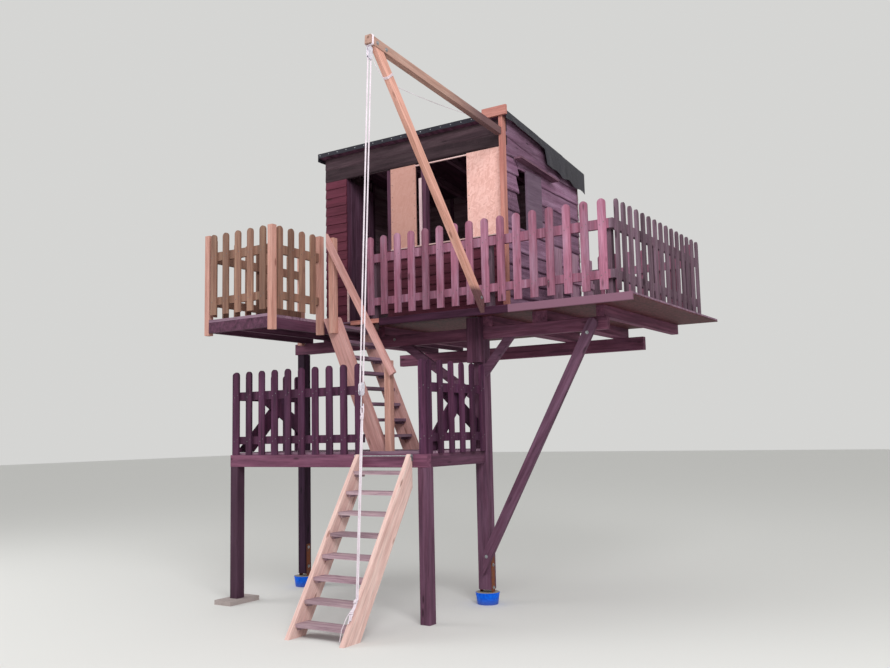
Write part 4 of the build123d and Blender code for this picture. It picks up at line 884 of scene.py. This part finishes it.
def waney_board(shape, place, start, end, low, high, depths, seed, fall=0.0, wane=WANE, slant=0):
    """A board whose lower edge wanders; depths are outer low, outer high, inner high and inner low.

    The far end is cut on the slant, shorter at the top by the given length.
    """
    outer_low, outer_high, inner_high, inner_low = depths
    steps = max(1, round(abs(end - start) / WANE_STATION))
    inward = 1 if inner_low > outer_low else -1
    rings = []
    for step in range(steps + 1):
        along = start + (end - start) * step / steps
        wave = wane * noise.noise(Vector((along * LONG_WAVES, seed * 7.31, 0.4)))
        wave += SHORT_SHARE * wane * noise.noise(Vector((along * SHORT_WAVES, seed * 3.17, 9.1)))
        bottom = low + wave - fall * (along - start)
        top = high(along) if callable(high) else high
        top = max(top, bottom + LEAST_BOARD)
        above = along - (slant if step == steps else 0)
        rings.append([place(along, outer_low, bottom + WANE_SHARE * wane + WANE_RISE),
                      place(above, outer_high, top), place(above, inner_high, top),
                      place(along, inner_low, bottom), place(along, outer_low + inward * WANE_DEPTH, bottom)])
    shape.add_rings(rings, float(seed))


def on_side(y, x, z):
    """Where a board on a side wall is: along Y, out along X."""
    return (x, y, z)


def on_front(x, y, z):
    """Where a board on a front or back wall is: along X, out along Y."""
    return (x, y, z)


def clad_wall(shape, place, start, end, rows, depths, roof, hole=None, seed=0, lap=36):
    """Rows of waney boards up to the roof, stopped at a window hole given as start, end, low and high."""
    for number, low in enumerate(rows):
        upper = rows[number + 1] + lap if number + 1 < len(rows) else ABOVE_ROOF

        def top_line(along, upper=upper):
            return min(upper, roof(along))

        pieces = [(start, end, low, top_line, WANE, 0)]
        if hole and low < hole[3] and upper > hole[2]:
            slant = SLANTED_END if low > hole[2] else 0
            pieces = [(start, hole[0], low, top_line, WANE, slant), (hole[1], end, low, top_line, WANE, 0)]
            if low < hole[2]:
                pieces.append((hole[0], hole[1], low, hole[2], WANE, 0))
            if upper > hole[3]:
                pieces.append((hole[0], hole[1], hole[3], top_line, 0.0, 0))
        for piece_start, piece_end, piece_low, piece_top, wane, slant in pieces:
            waney_board(shape, place, piece_start, piece_end, piece_low, piece_top, depths, seed + number,
                        wane=wane, slant=slant)


def studs(shape, x_spans, y_spans, top):
    """Upright studs inside a wall."""
    for x in x_spans:
        for y in y_spans:
            height = min(top(y[0]), top(y[1]))
            shape.add_box(x, y, (WALL_FOOT, height))


header = Shape()
waney_board(header, on_front, HUT_LEFT, HUT_RIGHT, 4672, 4836, (-15, -8, 4, -1), 41)
waney_board(header, on_front, HUT_LEFT, HUT_RIGHT, 4808, 4951, (-15, -9, 9, 1), 43)
header.add_box((HUT_LEFT, HUT_RIGHT), (4, 10), (4666, 4940), 44.0)
new_piece("header_boards", header.mesh("header_boards"), waney_painted_shade, "frame",
          ("hut_front_header",))

WINDOW = (250, 725, 3839, 4465)
SIDE_ROWS = (2918, 3080, 3250, 3415, 3572, 3785, 3994, 4190, 4390, 4566)
PLAIN_ROWS = [WALL_FIRST + WALL_EXPOSURE * row for row in range(WALL_ROWS)]
BACK_TOP = 4746.0
TOP_BOARD_FALL = 0.098
side_boards = Shape()
clad_wall(side_boards, on_side, ROOF_FRONT, HUT_REAR, SIDE_ROWS, [365 - step for step in WALL_STEP],
          roof_under, WINDOW, 50)
waney_board(side_boards, on_side, ROOF_FRONT, HUT_REAR, 4754, roof_under, (365, 360, 350, 353), 71,
            TOP_BOARD_FALL)
new_piece("side_boards_right", side_boards.mesh("side_boards_right"), waney_y, "frame",
          ("hut_right_wall",))
left_boards = Shape()
clad_wall(left_boards, on_side, 10, HUT_REAR, PLAIN_ROWS, [step - 2065 for step in WALL_STEP], roof_under,
          seed=80)
new_piece("side_boards_left", left_boards.mesh("side_boards_left"), waney_left, "frame",
          ("hut_left_wall",))
back_boards = Shape()
clad_wall(back_boards, on_front, HUT_LEFT, HUT_RIGHT, PLAIN_ROWS, [1765 - step for step in WALL_STEP],
          lambda along: BACK_TOP, seed=100)
new_piece("back_boards", back_boards.mesh("back_boards"), waney_x, "frame",
          ("hut_back_wall",))
RIGHT_STUDS, LEFT_STUDS, BACK_STUDS = (321, 339), (-2039, -2021), (1721, 1739)
wall_studs = Shape()
studs(wall_studs, [RIGHT_STUDS], [(12, 57), (205, 249), (726, 771), (1240, 1285), (1674, 1719)], roof_under)
studs(wall_studs, [LEFT_STUDS], [(12, 57), (420, 465), (850, 895), (1270, 1315), (1674, 1719)], roof_under)
studs(wall_studs, [(-2021, -1976), (-1420, -1375), (-820, -775), (-220, -175), (275, 320)], [BACK_STUDS],
      roof_under)
for level in (3794, 4466):
    wall_studs.add_box(RIGHT_STUDS, (249, 726), (level, level + 44))
new_piece("wall_studs", wall_studs.mesh("wall_studs"), stain_z, "frame", ease_mm=EASE_MM)

# Pale laths under and over the hut's open window, and a strip at its edge
laths = Shape()
laths.add_box((-1123, 320), (-20, -2.5), (3732, 3746), 1.0)
laths.add_box((-785, -125), (-12, 10), (4640, 4653), 2.0)
new_piece("window_laths", laths.mesh("window_laths"), larch_lath, "frame", ease_mm=EASE_MM)

window_strip = Shape()
window_strip.add_box((-744, -709), (-3, 9), (3747, 4500))
new_piece("window_strip", window_strip.mesh("window_strip"), primed_lath, "frame",
          ease_mm=EASE_MM)

# The hut's door leaf: upright boards on three ledges
DOOR_CORNER = Vector((-1755, 80.2, 0))
DOOR_WIDTH = Vector((-98.3, 557.4, 0))
DOOR_DEPTH = Vector((-29.5, -5.2, 0))
DOOR_BOARDS = 5
DOOR_SPLIT = 0.7
DOOR_GAP_SHARE = 0.004
DOOR_LEVELS = (2924, 4656)
LEDGE_HEIGHT = 95
LEDGE_SHARES = (0.06, 0.94)
leaf = Shape()


def leaf_board(start, end, near, far, low, high, board):
    """A board of the leaf between shares of its width and depth."""
    corners = [DOOR_CORNER + DOOR_WIDTH * width + DOOR_DEPTH * depth
               for width, depth in ((start, near), (end, near), (end, far), (start, far))]
    leaf.add_rings([[corner + Vector((0, 0, level)) for corner in corners] for level in (low, high)], board)


for number in range(DOOR_BOARDS):
    leaf_board(number / DOOR_BOARDS + DOOR_GAP_SHARE, (number + 1) / DOOR_BOARDS - DOOR_GAP_SHARE,
               0.0, DOOR_SPLIT, *DOOR_LEVELS, number + 1.0)
for ledge_low in (3080, 3760, 4420):
    leaf_board(*LEDGE_SHARES, DOOR_SPLIT, 1.0, ledge_low, ledge_low + LEDGE_HEIGHT, ledge_low / 10)
new_piece("door_leaf_boards", leaf.mesh("door_leaf_boards"), door_boards, "frame",
          ("hut_door_leaf",), ease_mm=EASE_MM)
lath = Shape()
lath.add_box((-1754, -1738), (-13, 10), (2980, 3380))
new_piece("door_edge_lath", lath.mesh("door_edge_lath"), larch_lath, "frame", ease_mm=EASE_MM)

# Roofing felt in three lapped strips, turned down over the edges
FELT_TOP = 5004.6
FELT_LEFT, FELT_RIGHT = -2111, 411
FELT_FRONT, FELT_REAR = -88, 1853
SHORT_FLAP, LONG_FLAP, LONG_FLAP_START = 80, 245, 850
FELT_THICK = 2.5
FLAP_SHARES = (0.06, 0.33, 0.66, 1.0)
ACROSS_STEPS, EDGE_STEPS, FELT_STATION = 14, 40, 60
FELT_WAVES, CURL_WAVES = 0.006, 0.007
FELT_RIPPLE, LEFT_CURL, RIGHT_CURL = 1.6, 10, 14
FLAP_WANDER, EDGE_WANDER = 0.16, 0.12


def felt_top(y):
    """Height of the roof's upper face."""
    return FELT_TOP - ROOF_FALL * (y + 85)


def felt_strip(shape, front, rear, lift_front, lift_rear, seed):
    """A strip of felt across the roof with a flap at each end."""
    rows = []
    steps = round((rear - front) / FELT_STATION)
    for step in range(steps + 1):
        share = step / steps
        y = front + (rear - front) * share
        top = felt_top(y) + lift_front + (lift_rear - lift_front) * share
        hem = 1 + FLAP_WANDER * noise.noise(Vector((y * FELT_WAVES, seed, 2.0)))
        right_flap = (LONG_FLAP if y > LONG_FLAP_START else SHORT_FLAP) * hem
        left_flap = SHORT_FLAP * hem
        row = []
        for drop in reversed(FLAP_SHARES):
            curl = LEFT_CURL * drop * noise.noise(Vector((y * CURL_WAVES, drop, seed + 5)))
            row.append((FELT_LEFT - 1 - abs(curl), y, top - left_flap * drop))
        for place in range(ACROSS_STEPS + 1):
            x = FELT_LEFT + (FELT_RIGHT - FELT_LEFT) * place / ACROSS_STEPS
            wave = FELT_RIPPLE * noise.noise(Vector((x * FELT_WAVES, y * FELT_WAVES, seed)))
            row.append((x, y, top + wave + 1.0))
        for drop in FLAP_SHARES:
            curl = RIGHT_CURL * drop * noise.noise(Vector((y * CURL_WAVES, drop, seed + 8)))
            row.append((FELT_RIGHT + 1 + abs(curl), y, top - right_flap * drop))
        rows.append(row)
    shape.add_sheet(rows)


felt_cover = Shape()
felt_strip(felt_cover, 1190, FELT_REAR, 0.0, 0.0, 3)
felt_strip(felt_cover, 560, 1260, 0.0, FELT_THICK + 1, 5)
felt_strip(felt_cover, FELT_FRONT, 640, 0.0, FELT_THICK + 1, 9)
for edge_y, inner_y, edge_drop in ((FELT_FRONT, -30, 46), (FELT_REAR + 1, 1800, 52)):
    rows = []
    for place in range(EDGE_STEPS + 1):
        x = FELT_LEFT + (FELT_RIGHT - FELT_LEFT) * place / EDGE_STEPS
        hem = edge_drop * (1 + EDGE_WANDER * noise.noise(Vector((x * FELT_WAVES, edge_y, 1.0))))
        rows.append([(x, inner_y, felt_top(inner_y) + 1.5), (x, edge_y, felt_top(edge_y) + 1.0),
                     (x, edge_y, felt_top(edge_y) - hem)])
    felt_cover.add_sheet(rows)
new_piece("roofing_felt", felt_cover.mesh("roofing_felt"), felt, "frame", thick_mm=FELT_THICK)

# Buckets: a thin wall with a rolled rim, a rib below it and two lugs for the handle
BUCKET_SIDES = 48
RIGHT_POST, LEFT_POST = 0, -2422
LUG_HALF, LUG_DEPTHS, LUG_LEVELS = 16, (114.5, 121.5), (70, 106)
# Radius and height from the foot, up the outside, over the rim and down the inside
BUCKET_OUTLINE = [(104.5, 0), (105.0, 2), (116.4, 88), (118.6, 90), (119.0, 94), (117.4, 96),
                  (118.6, 106), (122.0, 108), (122.0, 115), (120.4, 117), (118.2, 117), (117.9, 114),
                  (102.2, 5), (101.4, 4)]
buckets = Shape()
for centre in (RIGHT_POST, LEFT_POST):
    around = (FULL_TURN * side / BUCKET_SIDES for side in range(BUCKET_SIDES))
    buckets.add_rings([[(centre + radius * math.cos(turn), radius * math.sin(turn), height)
                        for radius, height in BUCKET_OUTLINE] for turn in around], closed=True)
    for side in (-1, 1):
        buckets.add_box((centre - LUG_HALF, centre + LUG_HALF), sorted(side * depth for depth in LUG_DEPTHS),
                        LUG_LEVELS)
new_piece("footing_bucket_shells", buckets.mesh("footing_bucket_shells"), bucket_blue, "frame",
          ("footing_buckets",))

# Screws through each picket into its two rails
SCREW_ASIDE, SCREW_SLANT = 20, 0.6
LOWER_RAILS = (1672, 2137)
UPPER_RAILS = (3105, 3570)
LOWER_FACE, LONE_PICKET = -1145, 20
SHEET_SCREWS, SHEET_SCREW_FIRST, SHEET_SCREW_PITCH = 7, 3780, 140
screw_spots = []


def screw_row(axis, first, pitch, count, face, way, levels):
    """Two screws at each crossing of a row of pickets with its rails."""
    for number in range(count):
        for level in levels:
            for aside in (-SCREW_ASIDE, SCREW_ASIDE):
                along = first + pitch * number + aside
                level_there = level + SCREW_SLANT * aside
                point = (along, face, level_there) if axis == "X" else (face, along, level_there)
                screw_spots.append((point, way))


LEFTWARD, RIGHTWARD, FRONTWARD, REARWARD = (-1, 0, 0), (1, 0, 0), (0, -1, 0), (0, 1, 0)
screw_row("X", LOWER_FRONT_FIRST, LOWER_FRONT_PITCH, 10, LOWER_FACE, FRONTWARD, LOWER_RAILS)
screw_row("X", LONE_PICKET, LOWER_FRONT_PITCH, 1, LOWER_FACE, FRONTWARD, LOWER_RAILS)
screw_row("Y", LOWER_SIDE_FIRST, LOWER_SIDE_PITCH, 6, 65, RIGHTWARD, LOWER_RAILS)
screw_row("Y", LOWER_SIDE_FIRST, LOWER_SIDE_PITCH, 6, -2440, LEFTWARD, LOWER_RAILS)
screw_row("X", UPPER_FRONT_FIRST, UPPER_FRONT_PITCH, 16, -465, FRONTWARD, UPPER_RAILS)
screw_row("Y", UPPER_SIDE_FIRST, UPPER_SIDE_PITCH, 15, 1685, RIGHTWARD, UPPER_RAILS)
screw_row("X", UPPER_BACK_FIRST, UPPER_FRONT_PITCH, 7, 2070, REARWARD, UPPER_RAILS)
screw_row("X", LANDING_FRONT_FIRST, LANDING_FRONT_PITCH, 5, -1560, FRONTWARD, UPPER_RAILS)
screw_row("Y", LANDING_SIDE_FIRST, LANDING_SIDE_PITCH, 4, -1448, RIGHTWARD, UPPER_RAILS)
screw_row("Y", LANDING_SIDE_FIRST, LANDING_SIDE_PITCH, 8, -2397, LEFTWARD, UPPER_RAILS)
for sheet_left, sheet_right in ((-1125, -785), (-125, 320)):
    for edge_x in (sheet_left + SCREW_ASIDE, sheet_right - SCREW_ASIDE):
        screw_spots += [((edge_x, -2, SHEET_SCREW_FIRST + SHEET_SCREW_PITCH * number), FRONTWARD)
                        for number in range(SHEET_SCREWS)]
fasteners("picket_and_sheet_screws", screw_spots, dull_zinc)

# Bolts and nuts: post anchors, long brace, main beam and gallows arm
BOLT = {"sides": 6, "radius": 11, "crown": 10, "height": 8, "washer": 17, "washer_height": 2.5}
HINGE_NUT = {"sides": 6, "radius": 10.5, "crown": 9.5, "height": 7, "washer": 14, "washer_height": 2}
CLOUT_NAIL = {"radius": 5.5, "crown": 4.0, "height": 1.2, "washer": 5.5, "washer_height": 0.3}
CLOUT_PITCH = 130
bolt_spots = []
for post_x, half_flat, levels in ((RIGHT_POST, 71, (163, 385)), (LEFT_POST, 58.5, (225, 438))):
    for level in levels:
        bolt_spots.append(((post_x + half_flat, 0, level), RIGHTWARD))
        bolt_spots.append(((post_x - half_flat, 0, level), LEFTWARD))
bolt_spots += [((63, -115, 479), FRONTWARD), ((1230, -115, 2628), FRONTWARD),
               ((-1058, -65, 2732), FRONTWARD), ((350, -2194, 4960), RIGHTWARD),
               ((350, -2070, 4945), RIGHTWARD), ((342.5, -560, 3000), RIGHTWARD)]
fasteners("hexagon_bolts", bolt_spots, zinc, **BOLT)
fasteners("hinge_nuts", [((-743, -1166, 1505), LEFTWARD), ((-87, -1166, 1505), RIGHTWARD)], zinc, **HINGE_NUT)
clout_spots = [((FELT_RIGHT + 2, y, felt_top(y) - 22), RIGHTWARD) for y in range(-60, 1850, CLOUT_PITCH)]
clout_spots += [((x, FELT_FRONT - 3, felt_top(FELT_FRONT) - 20), FRONTWARD)
                for x in range(-2080, 130, CLOUT_PITCH)]
fasteners("felt_nails", clout_spots, zinc, **CLOUT_NAIL)

# Ropes of the tackle: two falls between the sheaves
SHEAVE_UPPER = Vector((313.4, -2257.3, 4862.5))
SHEAVE_LOWER = Vector((42.2, -2065.7, 2085.4))
TACKLE_DOWN = Vector((-0.09697, 0.06852, -0.99293))
FALL_OFFSET = Vector((0.1, 20.1, 1.4))
HOOK_POINT = Vector((26.8, -2038.8, 1927.6))
TIE_POINT = Vector((-128.8, -1944.9, 335))
ROPE_RADIUS, CORD_RADIUS, SLING_RADIUS, LOOSE_END_RADIUS = 7.5, 3.0, 5.0, 4.0
SHEAVE_STEPS = 10
FALL_TOP, FALL_END, FALL_SPREAD = 46, 30, 1.05


def round_sheave(centre, first_side):
    """Points round a sheave from one side to the other, over its far end."""
    over = TACKLE_DOWN * FALL_OFFSET.length * (1 if centre is SHEAVE_LOWER else -1)
    turns = [math.pi * step / SHEAVE_STEPS for step in range(SHEAVE_STEPS + 1)]
    return [centre + FALL_OFFSET * math.cos(turn) * first_side + over * math.sin(turn) for turn in turns]


falls = [SHEAVE_UPPER - FALL_OFFSET + TACKLE_DOWN * FALL_TOP] + round_sheave(SHEAVE_LOWER, -1)
falls += round_sheave(SHEAVE_UPPER, 1) + [SHEAVE_UPPER - FALL_OFFSET * FALL_SPREAD + TACKLE_DOWN * FALL_END]
rope("tackle_falls", [falls], ROPE_RADIUS, corner=1.0, stands_for=("tackle_ropes",))

# Ways along a timber and out of it, for what is wound round the arm, its brace and the stair
ARM_ALONG = Vector((0, -0.997, 0.079))
ARM_OUT = Vector((0, 0.079, 0.997))
BRACE_ALONG = Vector((0, 0.637, -0.771))
BRACE_OUT = Vector((0, 0.771, 0.637))
STAIR_ALONG = Vector((0, 0.5446, 0.8387))
STAIR_OUT = Vector((0, 0.8387, -0.5446))


TIMBER_CORNERS = ((-1, -1), (1, -1), (1, 1), (-1, 1))
ARM_HALF_X, ARM_HALF_OUT = 30, 37.5
GUY_HALF_X, GUY_HALF_OUT = 22.5, 42.5


def turns_round(centre, along, out, half_x, half_out, turns, pitch):
    """Corners of a rope that is wound round a squared timber."""
    path = []
    for number in range(turns * 4 + 1):
        side, face = TIMBER_CORNERS[number % 4]
        path.append(centre + Vector((side * half_x, 0, 0)) + out * (face * half_out)
                    + along * (number / 4 * pitch))
    return path


sling = turns_round(Vector((320, -2254, 4966)), ARM_ALONG, ARM_OUT, ARM_HALF_X + SLING_RADIUS,
                    ARM_HALF_OUT + SLING_RADIUS, 2, 11)
sling_legs = [[Vector((308, -2258, 4926)), SHEAVE_UPPER + Vector((2, -3, 50))],
              [Vector((330, -2262, 4926)), SHEAVE_UPPER + Vector((8, -5, 50))]]
rope("block_sling", [sling] + sling_legs, SLING_RADIUS, corner=8.0)
lashing = turns_round(Vector((320, -2015, 4747)), BRACE_ALONG, BRACE_OUT, GUY_HALF_X + CORD_RADIUS,
                      GUY_HALF_OUT + CORD_RADIUS, 3, 8)
CORD_END = Vector((85, -118, 4990))
CORD_SAG = 26.0
CORD_STEPS = 12
KNOT_STEPS, KNOT_RADIUS = 10, 9
cord_start = SHEAVE_UPPER + Vector((-9, 10, 62))
cord_runs = [cord_start, cord_start + Vector((-12, 12, -30)), Vector((300, -2150, 4780))] + lashing
for step in range(1, CORD_STEPS + 1):
    share = step / CORD_STEPS
    sag = Vector((0, 0, 4 * CORD_SAG * share * (1 - share)))
    cord_runs.append(lashing[-1].lerp(CORD_END, share) - sag)
rope("guy_cord", [cord_runs], CORD_RADIUS, corner=6.0, lay=22.0)
cord_knot = [CORD_END + Vector((KNOT_RADIUS * math.cos(turn), -1.5, KNOT_RADIUS * math.sin(turn) - 6))
             for turn in (FULL_TURN * step / KNOT_STEPS for step in range(2 * KNOT_STEPS + 1))]
rope("cord_knot", [cord_knot], CORD_RADIUS, corner=2.0, lay=22.0)

# Rope from the hook to the stair: an eye in the hook, a knot below it, and two parts side by side
HOOK_KNOT = 74
KNOT_TURNS, TURN_STEPS, KNOT_RISE, KNOT_WIND = 3, 8, 1.1, 10.5
PENDANT_END = Vector((-117.5, -1951, 343))
PENDANT_SHARES = (0.12, 0.4, 0.7, 1.0)
pendant_way = (TIE_POINT - HOOK_POINT).normalized()
pendant_side = pendant_way.cross(Vector((0, 1, 0))).normalized()
pendant_back = pendant_side.cross(pendant_way)


def by_hook(down, aside):
    """A point in mm down the rope from the hook and aside of it."""
    return HOOK_POINT + pendant_way * down + pendant_side * aside


eye = [by_hook(78, 3), by_hook(30, 13), by_hook(-6, 12), by_hook(-12, 0), by_hook(-6, -12), by_hook(30, -13),
       by_hook(HOOK_KNOT, 0)]
hook_knot = []
for step in range(KNOT_TURNS * TURN_STEPS + 1):
    turn = FULL_TURN * step / TURN_STEPS
    hook_knot.append(by_hook(HOOK_KNOT + step * KNOT_RISE - 10, KNOT_WIND * math.cos(turn))
                     + pendant_back * (KNOT_WIND * math.sin(turn)))
pendant_runs = [eye]
for side in (-1, 1):
    beside = pendant_side * (0.95 * ROPE_RADIUS * side)
    pendant_runs.append([by_hook(HOOK_KNOT, 0) + beside * 0.6]
                        + [HOOK_POINT.lerp(PENDANT_END, share) + beside for share in PENDANT_SHARES])
pendant = rope("pendant_rope_laid", pendant_runs + [hook_knot], ROPE_RADIUS, body=None, corner=9.0,
               stands_for=("pendant_rope",))
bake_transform(pendant)


STAIR_EDGE = Vector((-118, -1944.9, 335))
HITCH_TURNS, HITCH_PITCH, HITCH_OFF, HITCH_HALF_ACROSS, HITCH_HALF_OFF = 2, 1.8, 20, 15, 12.5


def stair_edge(down, across, off):
    """A point over the front edge of the stair's right side: mm down it, across it and off the wood."""
    return STAIR_EDGE + Vector((across, 0, 0)) - STAIR_ALONG * down - STAIR_OUT * off


def hitch(down):
    """Round turns about the rope parts that lie on that edge."""
    path = []
    for step in range(HITCH_TURNS * TURN_STEPS + 1):
        turn = FULL_TURN * step / TURN_STEPS
        path.append(stair_edge(down + step * HITCH_PITCH, HITCH_HALF_ACROSS * math.cos(turn),
                               HITCH_OFF + HITCH_HALF_OFF * math.sin(turn)))
    return path


long_part = [stair_edge(-4, -7, 17), stair_edge(60, -8, 10), stair_edge(118, -8, 20),
             stair_edge(160, -8, 12), stair_edge(205, -5, 9)]
short_part = [stair_edge(-4, 7, 17), stair_edge(60, 7, 10), stair_edge(118, 7, 20),
              stair_edge(150, 6, 12), stair_edge(178, 8, 9)]
rope("stair_lashing", [hitch(6), long_part, short_part, hitch(104)], ROPE_RADIUS, body="stair", corner=10.0)
loose_end = [stair_edge(96, -10, 26), Vector((-150, -2052, 212)), Vector((-172, -2090, 120)),
             Vector((-186, -2099, 26))]
rope("lashing_loose_end", [loose_end], LOOSE_END_RADIUS, body="stair", corner=10.0)

# Camera: turned to its heading, pitched up, and rolled
pointing = Vector((-math.sin(HEADING) * math.cos(PITCH), math.cos(HEADING) * math.cos(PITCH),
                   math.sin(PITCH)))
level = Vector((math.cos(HEADING), math.sin(HEADING), 0))
upright = level.cross(pointing)
rolled_right = level * math.cos(ROLL) + upright * math.sin(ROLL)
rolled_up = upright * math.cos(ROLL) - level * math.sin(ROLL)
camera_data = bpy.data.cameras.new("viewpoint")
camera_data.sensor_width = SENSOR_MM
camera_data.lens = FOCAL_PIXELS * SENSOR_MM / IMAGE_WIDTH
camera_data.shift_x = (IMAGE_CENTRE - PRINCIPAL_COLUMN) / IMAGE_WIDTH
camera = bpy.data.objects.new("viewpoint", camera_data)
turned_frame = Matrix((rolled_right, rolled_up, -pointing)).transposed().to_4x4()
camera.matrix_world = Matrix.Translation(EYE) @ turned_frame
bpy.context.scene.collection.objects.link(camera)
bpy.context.scene.camera = camera

# Pale floor, soft light
FLOOR_HALF = 60.0
WORLD_LIGHT = 0.75
floor_mesh = bpy.data.meshes.new("studio_floor")
floor_mesh.from_pydata(
    [(-FLOOR_HALF, -FLOOR_HALF, 0), (FLOOR_HALF, -FLOOR_HALF, 0), (FLOOR_HALF, FLOOR_HALF, 0),
     (-FLOOR_HALF, FLOOR_HALF, 0)], [], [(0, 1, 2, 3)])
studio_floor = bpy.data.objects.new("studio_floor", floor_mesh)
bpy.context.scene.collection.objects.link(studio_floor)
floor_material, _, floor_shader, _ = new_material("pale_studio_floor", roughness=0.9)
floor_shader.inputs["Base Color"].default_value = srgb("#dcdcda")
floor_mesh.materials.append(floor_material)

world = bpy.data.worlds.new("studio")
bpy.context.scene.world = world
world.use_nodes = True
background = world.node_tree.nodes["Background"]
background.inputs["Color"].default_value = srgb("#f2f2f0")
background.inputs["Strength"].default_value = WORLD_LIGHT


def soft_lamp(name, place, aim, size, power):
    """A large square lamp that lights from one side."""
    lamp = bpy.data.lights.new(name, "AREA")
    lamp.shape = "SQUARE"
    lamp.size = size
    lamp.energy = power
    holder = bpy.data.objects.new(name, lamp)
    direction = (Vector(aim) - Vector(place)).to_track_quat("-Z", "Y").to_matrix().to_4x4()
    holder.matrix_world = Matrix.Translation(place) @ direction
    bpy.context.scene.collection.objects.link(holder)


MIDDLE = (0.0, 0.0, 2.5)
soft_lamp("key", (7.0, -8.0, 9.0), MIDDLE, size=5.0, power=900)
soft_lamp("fill", (-9.0, -6.0, 6.0), MIDDLE, size=6.0, power=350)
bpy.context.scene.view_settings.view_transform = "Standard"
